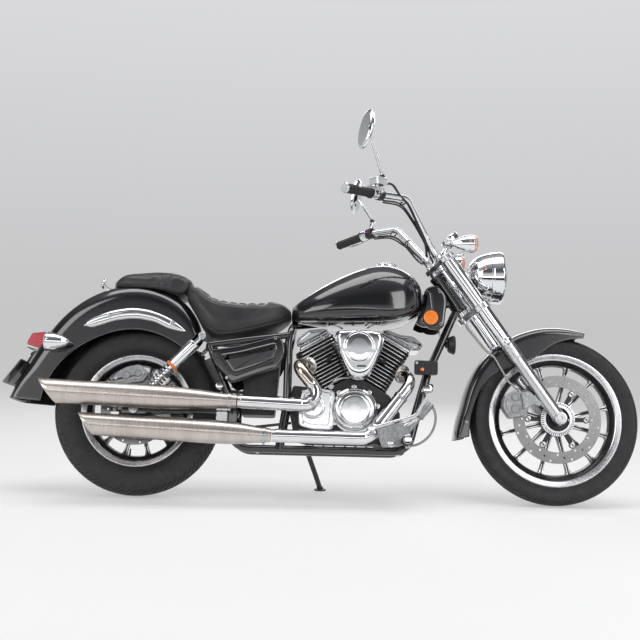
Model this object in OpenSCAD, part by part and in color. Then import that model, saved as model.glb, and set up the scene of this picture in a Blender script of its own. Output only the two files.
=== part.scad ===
// Cruiser motorcycle with an air-cooled V-twin engine, parked on its side stand.
// Millimetres. Inside stance() the bike is upright: X points forward, Y to the rider's
// left, Z up, and the rear axle is at X = 0. stance() leans it onto the side stand.

/* [Stance] */
// Lean to the left on the side stand, in degrees
lean = 10; // [4:0.5:14]
// Distance between the two axles
wheelbase = 1530; // [1450:5:1600]
// Fork angle from vertical, in degrees
rake = 35; // [28:0.5:38]
// Steering axis behind the fork legs
fork_offset = 50; // [30:1:70]
// Centre plane to each fork leg
leg_y = 100; // [90:1:115]

/* [Wheels] */
// Rear tyre outside radius
rear_tyre_r = 307.5; // [295:0.5:320]
// Rear tyre half width
rear_tyre_w = 65; // [55:1:75]
// Front tyre outside radius
front_tyre_r = 310; // [295:0.5:320]
// Front tyre half width
front_tyre_w = 50; // [40:1:60]
// Axle radius
axle_r = 10; // [8:0.5:12]
// Spokes in each wheel
spokes = 12; // [10:1:14]
// Front brake disc radius
disc_front_r = 160; // [130:1:165]
// Rear brake disc radius
disc_rear_r = 127; // [100:1:130]

/* [Engine] */
// Crankshaft centre, forward of the rear axle
crank_x = 790; // [760:1:820]
// Crankshaft height
crank_z = 320; // [300:1:340]
// Cooling fin spacing
fin_pitch = 13; // [10:0.5:18]
// Cooling fin thickness
fin_t = 4; // [3:0.5:5]

/* [Exhaust] */
// Muffler radius
muffler_r = 42; // [34:1:46]
// Exhaust pipe radius
pipe_r = 21.5; // [18:0.5:24]

/* [Body] */
// Fuel tank half width
tank_w = 150; // [130:1:165]
// Rear fender half width
fender_w = 108; // [98:1:112]
// Front fender half width
front_fender_w = 72; // [62:1:73]
// Sheet thickness of the fenders
sheet = 4; // [3:0.5:6]
// Handlebar tube radius
bar_r = 12.5; // [11:0.1:14]
// Half width of the handlebar at the grip ends
bar_end_y = 400; // [360:1:420]

/* [Output] */
// Sub-part to build, or all

/* [Hidden] */
$fn = 48;

// Height of each axle in the upright bike, so the leaned tyre just meets the floor
rear_crown = 75;
front_crown = 60;
zr = rear_tyre_r - rear_crown + rear_crown / cos(lean);
zf = front_tyre_r - front_crown + front_crown / cos(lean);
// Middle of the leaned bike, so the origin is at the middle of its base
mid_x = 677.5;
mid_y = 184.9;

black = [0.07, 0.07, 0.08];
gloss = [0.03, 0.03, 0.035];
chromed = [0.82, 0.83, 0.85];
steel = [0.72, 0.70, 0.67];
alloy = [0.66, 0.67, 0.69];
rubber = [0.05, 0.05, 0.055];
hide = [0.06, 0.06, 0.065];
amber = [0.95, 0.45, 0.05];
redlens = [0.75, 0.05, 0.08];
clear = [0.85, 0.88, 0.90, 0.5];
greyplate = [0.62, 0.61, 0.60];

// ---- helpers ----
module stance() translate([-mid_x, -mid_y, 0]) rotate([-lean, 0, 0]) children();
module both() for (s = [-1, 1]) scale([1, s, 1]) children();
// cylinder along Y between two Y values
module ycyl(x, z, y0, y1, r, r2 = undef)
  translate([x, y0, z]) rotate([-90, 0, 0]) cylinder(h = y1 - y0, r1 = r, r2 = r2 == undef ? r : r2);
// round rod between two points
module rod(p, q, r, r2 = undef) {
  d = q - p; l = norm(d);
  translate(p) rotate([0, acos(d[2] / l), atan2(d[1], d[0])])
    cylinder(h = l, r1 = r, r2 = r2 == undef ? r : r2);
}
function unit(v) = v / norm(v);
function corner_t(a, b, c, r) = let (u = unit(b - a), v = unit(c - b), w = acos(max(-1, min(1, u * v)))) r * tan(w / 2);
// stations [point, direction] along corners, each turned with a bend of radius br
function turn(a, b, c, br, m) = let (u = unit(b - a), v = unit(c - b), w = acos(max(-1, min(1, u * v))), t = br * tan(w / 2),
  q = unit(v - u * (u * v)), o = b - u * t + q * br) [for (i = [0 : m]) let (e = w * i / m) [o - q * br * cos(e) + u * br * sin(e), u * cos(e) + q * sin(e)]];
function route(p, br, m) = let (n = len(p)) concat([[p[0], unit(p[1] - p[0])]], [for (i = [1 : n - 2]) each turn(p[i - 1], p[i], p[i + 1], br, m)],
  [[p[n - 1], unit(p[n - 1] - p[n - 2])]]);
function sides(s, i, v) = i >= len(s) ? [] : let (t = s[i][1], q = unit(v - t * (v * t))) concat([q], sides(s, i + 1, q));
// round tube along corners, with n flats around
module tube(p, r, br, n = 20, m = 4) {
  s = route(p, br, m); q = sides(s, 0, abs(s[0][1][0]) > 0.7 ? [0, 0, 1] : [1, 0, 0]);
  skin([for (i = [0 : len(s) - 1]) let (b = cross(s[i][1], q[i])) [for (k = [0 : n - 1]) s[i][0] + r * (q[i] * cos(360 * k / n) + b * sin(360 * k / n))]]);
}
// plate drawn in X and Z, from y0 to y1
module plate(y0, y1, pts) translate([0, y1, 0]) rotate([90, 0, 0]) linear_extrude(y1 - y0) polygon(pts);
// rounded lug between two points in X and Z
module lug(y0, y1, p, q, r) hull() { ycyl(p[0], p[1], y0, y1, r, r); ycyl(q[0], q[1], y0, y1, r, r); }
// lists smoothed between hand-chosen stations
function cr(a, b, c, d, t) = 0.5 * (2 * b + (c - a) * t + (2 * a - 5 * b + 4 * c - d) * t * t + (3 * b - a - 3 * c + d) * t * t * t);
function smooth(s, m) = [for (i = [0 : len(s) - 2]) for (j = [0 : m - 1])
  cr(s[max(i - 1, 0)], s[i], s[i + 1], s[min(i + 2, len(s) - 1)], j / m), s[len(s) - 1]];
function sp(v, e) = sign(v) * pow(abs(v), e);
// closed skin through equal rings; a band ring pairs its first half with its second
module skin(s, band = false) {
  n = len(s); m = len(s[0]);
  polyhedron([for (r = s) each r], concat(
    [for (i = [0 : n - 2]) for (k = [0 : m - 1]) let (a = i * m + k, b = i * m + (k + 1) % m) [a, a + m, b + m]],
    [for (i = [0 : n - 2]) for (k = [0 : m - 1]) let (a = i * m + k, b = i * m + (k + 1) % m) [a, b + m, b]],
    band ? [for (k = [0 : m / 2 - 2]) [k, k + 1, m - 2 - k]] : [for (k = [1 : m - 2]) [0, k, k + 1]],
    band ? [for (k = [0 : m / 2 - 2]) [k, m - 2 - k, m - 1 - k]] : [],
    band ? [for (k = [0 : m / 2 - 2]) let (o = (n - 1) * m) [o + k + 1, o + k, o + m - 2 - k]] : [for (k = [1 : m - 2]) let (o = (n - 1) * m) [o, o + k + 1, o + k]],
    band ? [for (k = [0 : m / 2 - 2]) let (o = (n - 1) * m) [o + m - 2 - k, o + k, o + m - 1 - k]] : []
  ), convexity = 6);
}
// ring at X: half width w, top, widest height and bottom
function oval(x, top, mid, bot, w, e1, e2, n = 28) = [for (k = [0 : n - 1]) let (t = 360 * k / n)
  [x, w * sp(cos(t), sin(t) >= 0 ? e1 : e2), mid + (sin(t) >= 0 ? (top - mid) * sp(sin(t), e1) : (mid - bot) * sp(sin(t), e2))]];
// fender ring at angle a about an axle: crown radius rt, shoulder drop d, lower edge rl, half width w
function half_arc(rt, d, w, off) = [for (k = [0 : 6]) let (b = k * 90 / 6) [(w + off) * sp(cos(b), 0.7), rt - d + (d + off) * sp(sin(b), 0.8)]];
function arch(rt, d, rl, w, off) = let (h = half_arc(rt, d, w, off))
  concat([[w + off, rl], [w + off, (rl + rt - d) / 2]], h, [for (k = [5 : -1 : 0]) [-h[k][0], h[k][1]]], [[-w - off, (rl + rt - d) / 2], [-w - off, rl]]);
function polar(c, a, p) = [c[0] + p[1] * cos(a), p[0], c[1] + p[1] * sin(a)];
// band of sheet metal about an axle, stations [angle, crown, drop, lower edge], falling angle
module fender_shell(c, st, w) skin([for (s = st) concat(
  [for (p = arch(s[1], s[2], s[3], w, 0)) polar(c, s[0], p)],
  [for (i = [16 : -1 : 0]) polar(c, s[0], arch(s[1], s[2], s[3], w, -sheet)[i])])], true);
module fender_fill(c, st, w, off) skin([for (s = st) [for (p = arch(s[1], s[2], s[3], w, off)) polar(c, s[0], p)]]);

// ---- wheels ----
function arc_pts(r, c, a0, a1, st) = [for (a = [a0 : st : a1]) [r - c + c * cos(a), c * sin(a)]];
// tyre section as radius and half width, mirrored
function tyre_half(r, w, c, rim) = [[rim - 14, 0.595 * w], [rim - 1, 0.65 * w], [rim + 6, 0.76 * w], [rim + 16, 0.90 * w],
  [rim + 32, 0.99 * w], [rim + 0.58 * (r - rim), w], [r - 0.25 * (r - rim), 0.93 * w]];
module tyre_body(r, w, c, rim) rotate([90, 0, 0]) rotate_extrude($fn = 96)
  difference() {
    polygon(concat(tyre_half(r, w, c, rim), [for (a = [40 : -5 : -40]) [r - c + c * cos(a), c * sin(a)]],
      [for (i = [6 : -1 : 0]) let (p = tyre_half(r, w, c, rim)[i]) [p[0], -p[1]]]));
    polygon([[rim - 40, -0.5 * w], [rim + 10, -0.62 * w], [rim + 32, -0.84 * w], [r - 26, -0.78 * w], [r - 16, -0.3 * w],
      [r - 16, 0.3 * w], [r - 26, 0.78 * w], [rim + 32, 0.84 * w], [rim + 10, 0.62 * w], [rim - 40, 0.5 * w]]);
  }
// rim ring, hub and spokes; rim = flange radius, w = tyre half width, hub_y = hub half length
module cast_wheel(rim, w, inner, hub_y, first) rotate([90, 0, 0]) difference() {
  union() {
    rotate_extrude($fn = 96) polygon([[inner, -0.30 * w], [inner + 12, -0.34 * w], [rim - 15, -0.60 * w],
      [rim - 1, -0.66 * w], [rim, -0.73 * w], [rim - 18, -0.70 * w + 2], [inner - 2, -0.38 * w], [inner - 8, 0],
      [inner - 2, 0.38 * w], [rim - 18, 0.70 * w - 2], [rim, 0.73 * w], [rim - 1, 0.66 * w],
      [rim - 15, 0.60 * w], [inner + 12, 0.34 * w], [inner, 0.30 * w], [inner + 2, 0]]);
    for (k = [0 : spokes - 1]) rotate([0, 0, first + k * 360 / spokes]) difference() {
      translate([0, 0, -13]) linear_extrude(26) polygon([[26, -13], [60, -8.5], [inner - 30, -7], [inner - 5, -10],
        [inner - 5, 10], [inner - 30, 7], [60, 8.5], [26, 13]]);
      for (s = [-1, 1]) translate([78, 0, s * 13]) linear_extrude(10, center = true) polygon([[0, -3.5], [inner - 118, -2.5], [inner - 112, 0], [inner - 118, 2.5], [0, 3.5]]);
    }
    cylinder(h = 2 * hub_y, r = 32, center = true);
    cylinder(h = 44, r = 46, center = true);
  }
  cylinder(h = 300, r = axle_r + 0.05, center = true);
}
module drilled_disc(r, ri, t, hole, rows) difference() {
  cylinder(h = t, r = r, center = true, $fn = 96);
  cylinder(h = t + 2, r = ri, center = true, $fn = 96);
  for (i = [0 : rows - 1]) for (k = [0 : 11]) rotate([0, 0, k * 30 + i * 10]) translate([ri + 9 + i * (r - ri - 17) / max(rows - 1, 1), 0, 0])
    cylinder(h = t + 2, r = hole, center = true, $fn = 16);
}

module rear_tyre() color(rubber) stance() translate([0, 0, zr]) tyre_body(rear_tyre_r, rear_tyre_w, rear_crown, 204.5);
module front_tyre() color(rubber) stance() translate([wheelbase, 0, zf]) tyre_body(front_tyre_r, front_tyre_w, front_crown, 244);
module rear_rim() color(black) stance() translate([0, 0, zr]) cast_wheel(204.5, rear_tyre_w, 170, 50, 15);
module front_rim() color(black) stance() translate([wheelbase, 0, zf]) cast_wheel(244, front_tyre_w, 206, 50, 15);
module rear_disc() color(alloy) stance() translate([0, -72, zr]) rotate([90, 0, 0]) {
  drilled_disc(disc_rear_r, 92, 5, 3.5, 2);
  difference() {
    union() {
      translate([0, 0, -21.8]) cylinder(h = 24.3, r = 62);
      for (k = [0 : 5]) rotate([0, 0, k * 60]) translate([76, 0, 0]) cube([40, 18, 4], center = true);
    }
    translate([0, 0, -0.1]) cylinder(h = 70, r = axle_r + 0.05, center = true);
    translate([0, 0, -1.5]) cylinder(h = 10, r = 34);
  }
}
module front_disc() color(alloy) stance() translate([wheelbase, -62, zf]) rotate([90, 0, 0]) {
  drilled_disc(disc_front_r, 119, 5, 4, 3);
  difference() {
    union() {
      translate([0, 0, -11.8]) cylinder(h = 13.8, r = 62);
      for (k = [0 : 5]) rotate([0, 0, k * 60]) {
        translate([92, 0, 0]) cube([64, 16, 5], center = true);
        translate([106, 0, -4]) cylinder(h = 8, r = 12);
      }
    }
    cylinder(h = 70, r = axle_r + 0.05, center = true);
    translate([0, 0, -2]) cylinder(h = 10, r = 30);
  }
}
module drive_sprocket() color(steel) stance() translate([0, 0, zr]) rotate([-90, 0, 0]) difference() {
  union() {
    translate([0, 0, 50.1]) cylinder(h = 26, r1 = 58, r2 = 66);
    translate([0, 0, 76]) cylinder(h = 8, r = 88);
  }
  cylinder(h = 200, r = axle_r + 0.05);
  translate([0, 0, 80]) cylinder(h = 10, r = 30);
  for (k = [0 : 4]) rotate([0, 0, k * 72]) translate([74, 0, 70]) cylinder(h = 20, r = 7);
}

// ---- frame ----
stand_p = [620, 128, 190];
foot_y = 222;
foot = [676, foot_y, foot_y * tan(lean)];
stand_e1 = unit([676, foot_y - 4, foot[2] + 10] - stand_p);
stand_e3 = unit(cross(stand_e1, [-1, 0.12, 0.06]));
stand_e2 = cross(stand_e3, stand_e1);
module stand_axes() multmatrix([[stand_e1[0], stand_e2[0], stand_e3[0], stand_p[0]], [stand_e1[1], stand_e2[1], stand_e3[1], stand_p[1]],
  [stand_e1[2], stand_e2[2], stand_e3[2], stand_p[2]], [0, 0, 0, 1]]) children();
// point on the steering axis, t along the fork
function stem(t) = [wheelbase - sin(rake) * t - cos(rake) * fork_offset, 0, zf + cos(rake) * t - sin(rake) * fork_offset];
module main_frame() color(black) stance() difference() {
  $fn = 24;
  union() {
    rod(stem(520), stem(688), 30);
    hull() { rod(stem(560), stem(600), 8); rod([1090, 0, 700], [1110, 0, 738], 8); }
    tube([[1150, 0, 748], [930, 0, 690], [566, 0, 648]], 20, 200, 12, 3);
    both() {
      tube([[1166, 15, 706], [1062, 34, 470], [984, 90, 178], [345, 90, 178], [345, 112, 262]], 14, 70, 12);
      tube([[566, 0, 648], [556, 100, 612], [545, 116, 560], [545, 116, 340], [520, 98, 178]], 13, 40, 12, 3);
      tube([[550, 108, 590], [400, 124, 566], [262, 122, 545]], 12, 60, 12, 3);
      lug(126, 134, [345, 270], [345, 330], 26);
      lug(126, 134, [345, 312], [372, 356], 20);
      tube([[345, 126, 340], [300, 126, 440], [262, 122, 545]], 12, 60, 12, 3);
      lug(112, 121, [236, 575], [262, 545], 20);
      ycyl(236, 575, 118, 152, 6);
      rod([572, 0, 648], [620, 0, 653], 17.6);
      lug(84, 96, [960, 192], [906, 190], 12);
    }
    // cross tubes
    ycyl(440, 178, -92, 92, 12);
    ycyl(960, 178, -92, 92, 12);
    // side stand bracket and pin
    plate(90, 112, [[590, 178], [650, 178], [640, 203], [604, 203]]);
    stand_axes() {
      translate([0, 0, -17]) cylinder(h = 8.7, r = 15);
      translate([0, 0, -17]) cylinder(h = 30, r = 6);
      translate([0, 0, 8.4]) cylinder(h = 5, r = 10);
    }
    rod([620, 104, 190], stand_p - 16 * stand_e3, 8);
  }
  rod(stem(500), stem(710), 20.1, $fn = 96);
}
module swingarm() color(black) stance() difference() {
  union() {
    ycyl(345, 312, -121, 121, 19);
    both() {
      rod([345, 108, 312], [30, 108, zr], 14);
      plate(96, 121, [[-44, zr - 17], [40, zr - 19], [60, zr], [40, zr + 19], [10, zr + 22], [-44, zr + 15]]);
      plate(110, 121, [[-6, zr + 10], [50, zr + 10], [38, 362], [14, 362]]);
      ycyl(26, 350, 118, 150, 6);
    }
  }
  ycyl(0, zr, -140, 140, axle_r + 0.05);
}
module rear_axle() color(steel) stance() difference() {
  union() {
    ycyl(0, zr, -134, 134, axle_r);
    both() ycyl(0, zr, 121.2, 132, 17);
    ycyl(0, zr, 90.5, 95.8, 16);
    ycyl(0, zr, -95.8, -80, 16);
  }
  ycyl(0, zr, 94, 140, 5);
}
module shock() {
  a = [26, 137, 350]; b = [236, 137, 575]; u = unit(b - a); l = norm(b - a);
  difference() {
    union() {
      ycyl(a[0], a[2], 124, 149, 13); ycyl(b[0], b[2], 124, 149, 14);
      rod(a, a + 40 * u, 12);
      rod(a + 36 * u, a + 44 * u, 24);
      rod(a + 40 * u, b - 10 * u, 13);
      translate(a + 46 * u) rotate([0, acos(u[2]), 0]) rotate_extrude() polygon(concat([[10, 0]],
        [for (k = [0 : 8]) each [[17, k * 12], [23, k * 12 + 3], [23, k * 12 + 7], [17, k * 12 + 10]]], [[10, 106]]));
      rod(a + 150 * u, a + 160 * u, 24);
      rod(a + 160 * u, b - 36 * u, 22.5);
    }
    ycyl(a[0], a[2], 110, 160, 6.05); ycyl(b[0], b[2], 110, 160, 6.05);
  }
}
module shocks() color(chromed) stance() both() shock();

// ---- engine ----
module crankcase() color(black) stance() {
  plate(-95, 95, [[577, 215], [620, 204], [905, 204], [934, 232], [938, 340], [918, 379], [crank_x, 453], [676, 388], [640, 402], [566, 408], [552, 330]]);
  plate(-60, 60, [[934, 240], [958, 262], [958, 320], [936, 345]]);
}
// one cylinder in its own axes, Z along the bore; w = width on the outer side
module cylinder_stack(w) {
  translate([-50, -56, 120]) cube([100 , 112, 178]);
  for (k = [0 : 9]) let (s = 124 + k * fin_pitch, in = min(s * 0.577 - 3, w)) translate([0, 0, s]) linear_extrude(fin_t)
    polygon([[-w, -62], [-w + 20, -84], [in - 14, -84], [in, -66], [in, 66], [in - 14, 84], [-w + 20, 84], [-w, 62]]);
  for (k = [0 : 2]) translate([0, 0, 258 + k * 13]) linear_extrude(fin_t + 1)
    polygon([[-w - 2, -56], [-w + 14, -76], [60, -76], [72, -60], [72, 60], [60, 76], [-w + 14, 76], [-w - 2, 56]]);
  translate([-62, -66, 292]) cube([126, 132, 8]);
}
module cylinders() color(black) stance() difference() {
  translate([crank_x, 0, crank_z]) {
    scale([-1, 1, 1]) rotate([0, -30, 0]) cylinder_stack(82);
    rotate([0, -30, 0]) cylinder_stack(64);
  }
  ycyl(958, 466, -100, -20, 24);
  ycyl(626, 484, -100, -20, 24);
  plate(-119, -59, [[769, 499], [813, 499], [817, 561], [765, 561]]);
  plate(-61, 61, [[751, 519], [829, 519], [833, 586], [747, 586]]);
}
module rocker_covers() color(chromed) stance() {
  plate(-70, 70, [[587, 551], [692, 612], [684, 624], [664, 624], [618, 617], [580, 586], [574, 568]]);
  plate(-70, 70, [[888, 612], [993, 551], [1028, 552], [1040, 574], [1004, 603], [955, 608], [914, 624], [894, 624]]);
}
module intake() color(black) stance() {
  plate(-118, -60, [[770, 500], [812, 500], [816, 560], [766, 560]]);
  plate(-60, 60, [[752, 520], [828, 520], [832, 585], [748, 585]]);
  plate(-128, -118.2, [[728, 590], [724, 556], [752, 470], [772, 440], [812, 434], [832, 446], [852, 480], [878, 536], [882, 586], [840, 600], [780, 600]]);
}
ac = [[714, 586], [722, 532], [746, 472], [766, 438], [788, 427], [816, 427], [838, 440], [857, 474], [882, 532], [891, 582], [882, 599], [844, 606], [786, 607], [722, 602]];
module air_cleaner_cover() color(chromed) stance() {
  skin([for (s = [[-128.4, 0.97], [-134, 1], [-172, 1], [-186, 0.96], [-192, 0.87]]) [for (i = [0 : 13]) [800 + (ac[i][0] - 800) * s[1], s[0], 530 + (ac[i][1] - 530) * s[1]]]]);
  ycyl(800, 541, -200, -190, 46, 54);
}
module engine_covers() color(alloy) stance() {
  ycyl(crank_x, crank_z, -128, -95.3, 80, 84);
  ycyl(crank_x, crank_z, -142, -127, 62, 74);
  ycyl(crank_x, crank_z, -148, -140, 44, 50);
  plate(-124, -95.3, [[592, 262], [640, 250], [712, 250], [716, 392], [662, 400], [600, 392], [584, 330]]);
  ycyl(640, 330, -132, -123, 40, 44);
  ycyl(crank_x, crank_z, 95.3, 122, 88, 82);
  ycyl(crank_x, crank_z, 121, 136, 76, 62);
  plate(95.3, 120, [[575, 262], [640, 240], [704, 250], [712, 392], [662, 400], [590, 396], [566, 330]]);
  ycyl(636, 330, 119, 127, 44, 40);
}

// ---- exhaust ----
module exhaust_pipes() color(chromed) stance() {
  tube([[962, -70, 462], [1004, -122, 438], [838, -180, 218], [498, -200, 219]], pipe_r, 30);
  tube([[622, -70, 482], [574, -170, 478], [704, -186, 326], [376, -200, 335]], pipe_r, 30);
}
// muffler along X from its tail, as [distance, radius] pairs, with a slash-cut hollow tail
module muffler(tail, head, prof, depth, cut) difference() {
  d = head - tail; l = norm(d);
  translate(tail) rotate([0, acos(d[2] / l), 0]) rotate_extrude() polygon(concat([[0, depth], [prof[0][1] - 3, depth], [prof[0][1] - 3, 0]], [for (p = prof) [p[1], p[0] * l]], [[0, l]]));
  plate(-260, -140, cut);
}
module mufflers() color(steel) stance() {
  muffler([-340, -200, 359], [373.6, -200, 335], [[0, muffler_r], [0.6, muffler_r], [0.82, 34], [1, pipe_r + 2]], 160, [[-400, 415], [-337, 415], [-258, 313], [-258, 250], [-400, 250]]);
  muffler([-200, -200, 247], [495.6, -200, 219], [[0, 38.5], [0.32, 39.5], [0.62, muffler_r], [0.84, 38], [1, pipe_r + 1]], 120, [[-300, 292], [-181, 290], [-121, 204], [-121, 150], [-300, 150]]);
  plate(-183, -150, [[300, 302], [344, 302], [350, 340], [300, 345]]);
  plate(-167, -150, [[296, 230], [340, 230], [340, 302], [300, 302]]);
}

// ---- bodywork ----
tank_st = [[556, 712, 668, 646, 44], [576, 728, 676, 643, 78], [620, 760, 682, 640, 104], [680, 800, 686, 638, 126], [740, 832, 688, 637, 140],
  [800, 858, 690, 638, 148], [860, 876, 690, 641, 150], [910, 878, 692, 647, 147], [960, 866, 700, 656, 136], [1000, 843, 714, 674, 115], [1026, 814, 730, 697, 86], [1040, 784, 745, 722, 48]];
module fuel_tank() color(gloss) stance() difference() {
  skin([for (s = smooth(tank_st, 3)) oval(s[0], s[1], s[2], s[3], s[4] * tank_w / 150, 0.84, 0.62)]);
  plate(-27, 27, [[540, 560], [540, 674], [930, 716], [1170, 780], [1170, 560]]);
  plate(-62, 62, [[540, 560], [540, 657], [588, 657], [588, 560]]);
}
module fuel_cap() color(chromed) stance() translate([905, 0, 873]) rotate([0, 3, 0]) {
  translate([0, 0, 6]) cylinder(h = 9, r1 = 38, r2 = 34);
}
rear_st = [[176, 464, 30, 340], [168, 452, 44, 336], [158, 438, 58, 328], [146, 436, 64, 318], [135, 444, 66, 308], [124, 454, 68, 300],
  [112, 463, 70, 295], [100, 468, 70, 292], [90, 466, 70, 290], [80, 456, 68, 286], [70, 436, 62, 282], [61, 405, 50, 280], [53, 368, 34, 278]];
front_st = [[192, 381, 20, 330], [182, 362, 28, 320], [172, 348, 32, 310], [160, 345, 34, 300], [148, 345, 34, 286], [136, 345, 34, 264], [124, 345, 34, 244], [112, 345, 34, 238],
  [101, 345, 34, 256], [90, 345, 34, 282], [80, 345, 30, 302], [72, 344, 18, 318]];
module rear_fender() color(gloss) stance() fender_shell([0, zr], smooth(rear_st, 2), fender_w);
module front_fender() color(gloss) stance() fender_shell([wheelbase, zf], smooth(front_st, 2), front_fender_w);
seat_st = [[170, 774, 744, 706, 98], [200, 774, 740, 656, 116], [235, 746, 714, 600, 128], [270, 723, 696, 567, 136], [320, 712, 686, 563, 141], [380, 709, 682, 577, 138],
  [430, 712, 685, 592, 128], [480, 719, 693, 608, 110], [520, 718, 696, 630, 88], [548, 702, 682, 652, 58]];
module rider_seat() color(hide) stance() difference() {
  skin([for (s = smooth(seat_st, 3)) oval(s[0], s[1], s[2], s[3], s[4], 0.72, 0.45)]);
  fender_fill([0, zr], [for (s = smooth(rear_st, 2)) if (s[0] < 100) [s[0], s[1], s[2], 150]], fender_w, 6);
  translate([160, -112, 500]) cube([340, 224, 140]);
  translate([500, -120, 560]) cube([60, 240, 76]);
  translate([520, -26, 560]) cube([60, 52, 114]);
}
pillion_st = [[-116, 772, 762, 752, 40], [-104, 786, 764, 742, 72], [-70, 812, 772, 738, 92], [0, 821, 778, 740, 100], [70, 825, 780, 736, 104], [130, 822, 776, 726, 104], [162, 808, 772, 734, 98], [182, 792, 786, 778, 84]];
module pillion_seat() color(hide) stance() difference() {
  skin([for (s = smooth(pillion_st, 3)) oval(s[0], s[1], s[2], s[3], s[4], 0.62, 0.5)]);
  fender_fill([0, zr], [for (s = smooth(rear_st, 2)) [s[0], s[1], s[2], 250]], fender_w, 2);
  skin([for (s = smooth(seat_st, 3)) oval(s[0], s[1] + 1.5, s[2], s[3], s[4] + 1.5, 0.72, 0.45)]);
}
module fender_trims() color(chromed) stance() both()
  plate(fender_w + 0.3, fender_w + 5, [[-200, 608], [-180, 630], [-109, 660], [-60, 672], [-18, 675], [54, 664], [122, 635], [168, 600], [160, 590], [113, 601], [56, 625], [-6, 636], [-72, 630], [-147, 607], [-190, 588]]);
module tail_light() color(redlens) stance() {
  difference() {
    plate(-52, 52, [[-420, 545], [-402, 584], [-330, 590], [-330, 520], [-356, 512]]);
    fender_fill([0, zr], [for (s = smooth(rear_st, 2)) if (s[0] > 120) [s[0], s[1], s[2], 150]], fender_w, 0.5);
  }
}
module rear_signals() color(chromed) stance() both() {
  translate([-328, 150, 538]) rotate([0, 90, 0]) rotate_extrude() polygon([[0, 0], [31, 2], [33, 10], [32, 30], [26, 56], [14, 80], [0, 92]]);
  rod([-300, fender_w + 0.4, 538], [-300, 124, 538], 9);
}
module number_plate() color(greyplate) stance() {
  difference() {
    union() {
      plate(-100, 100, [[-421, 484], [-485, 393], [-482, 391], [-418, 482]]);
      plate(-28, 28, [[-418, 482], [-452, 434], [-430, 400], [-395, 440], [-380, 500], [-395, 520]]);
    }
    fender_fill([0, zr], [for (s = smooth(rear_st, 2)) if (s[0] > 120) [s[0], s[1], s[2], 150]], fender_w, 0.5);
  }
}
module side_covers() color(gloss) stance() both() {
  plate(138.6, 146, [[264, 524], [300, 529], [370, 541], [512, 582], [530, 556], [536, 520], [512, 462], [440, 440], [345, 404], [318, 440], [280, 470]]);
  plate(145, 153, [[300, 512], [370, 524], [500, 560], [512, 540], [496, 480], [430, 456], [350, 430], [320, 480]]);
}
module battery_box() color(black) stance() plate(-70, 70, [[378, 300], [500, 300], [520, 560], [396, 548]]);
module neck_covers() color(gloss) stance() both() {
  plate(60, 74, [[1046, 786], [1091, 800], [1122, 764], [1127, 733], [1116, 640], [1092, 630], [1055, 634], [1060, 700]]);
  plate(60, 88, [[1044, 780], [1070, 770], [1080, 700], [1070, 640], [1040, 638], [1012, 650], [1046, 700]]);
  ycyl(1066, 674, 87.8, 92, 27);
  rod([1100, 58, 720], [1100, 60.5, 720], 12);
}
module regulator_box() color(black) stance() plate(-82, -50, [[1009, 462], [1093, 462], [1093, 512], [1009, 514]]);
module horn() color(black) stance() {
  translate([1139, 0, 585]) rotate([0, 90, 0]) cylinder(h = 18, r1 = 24, r2 = 33);
  translate([1156, 0, 585]) rotate([0, 90, 0]) cylinder(h = 10, r = 35);
}
module foot_controls() color(alloy) stance() {
  both() {
    plate(194, 204, [[862, 252], [930, 274], [966, 276], [990, 222], [972, 200], [930, 190], [884, 186]]);
    rod([950, 96.3, 214], [950, 196, 232], 12);
  }
  // brake pedal and its pad on the right
  tube([[846, -212, 252], [1000, -212, 298], [1036, -212, 362]], 7, 12);
  rod([965, -212, 280], [1041, -212, 373], 15);
  rod([1036, -262, 388], [1036, -204, 388], 17);
  rod([1004, -204, 292], [960, -196, 262], 8);
  // shift lever and its pad on the left
  tube([[900, 211, 250], [1000, 211, 262], [1040, 211, 300]], 6.5, 12);
  rod([1040, 205, 302], [1040, 262, 302], 11);
  rod([900, 196, 250], [900, 211, 250], 9);
  // rear brake cylinder
  rod([1020, -140, 300], [1062, -140, 350], 14);
  rod([1020, -140, 300], [958, -140, 224], 10);
}
module rider_pegs() color(rubber) stance() both() { ycyl(964, 210, 208, 322, 15); ycyl(964, 210, 204.3, 210, 10); ycyl(964, 210, 320, 326, 16); }
module passenger_pegs() color(rubber) stance() both() {
  rod([306, 150, 396], [258, 158, 486], 14);
  ycyl(306, 392, 138.6, 164, 12);
}
module rear_caliper() color(alloy) stance() difference() {
  union() {
    plate(-96, -52, [[-98, 408], [-72, 442], [-40, 462], [8, 472], [44, 440], [24, 408], [-30, 400], [-60, 392]]);
    plate(-95.7, -83, [[24, 408], [-20, 404], [-16, zr + 24], [16, zr + 24]]);
  }
  ycyl(0, zr, -79.7, -64.3, disc_rear_r + 6);
}
module chain_guard() color(black) stance() {
  plate(74, 90, [[16, zr + 94], [60, zr + 96], [300, 396], [540, 372], [540, 382], [300, 408], [60, zr + 108], [16, zr + 106]]);
  plate(76, 84, [[100, 218], [560, 280], [560, 290], [100, 230]]);
}

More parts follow.
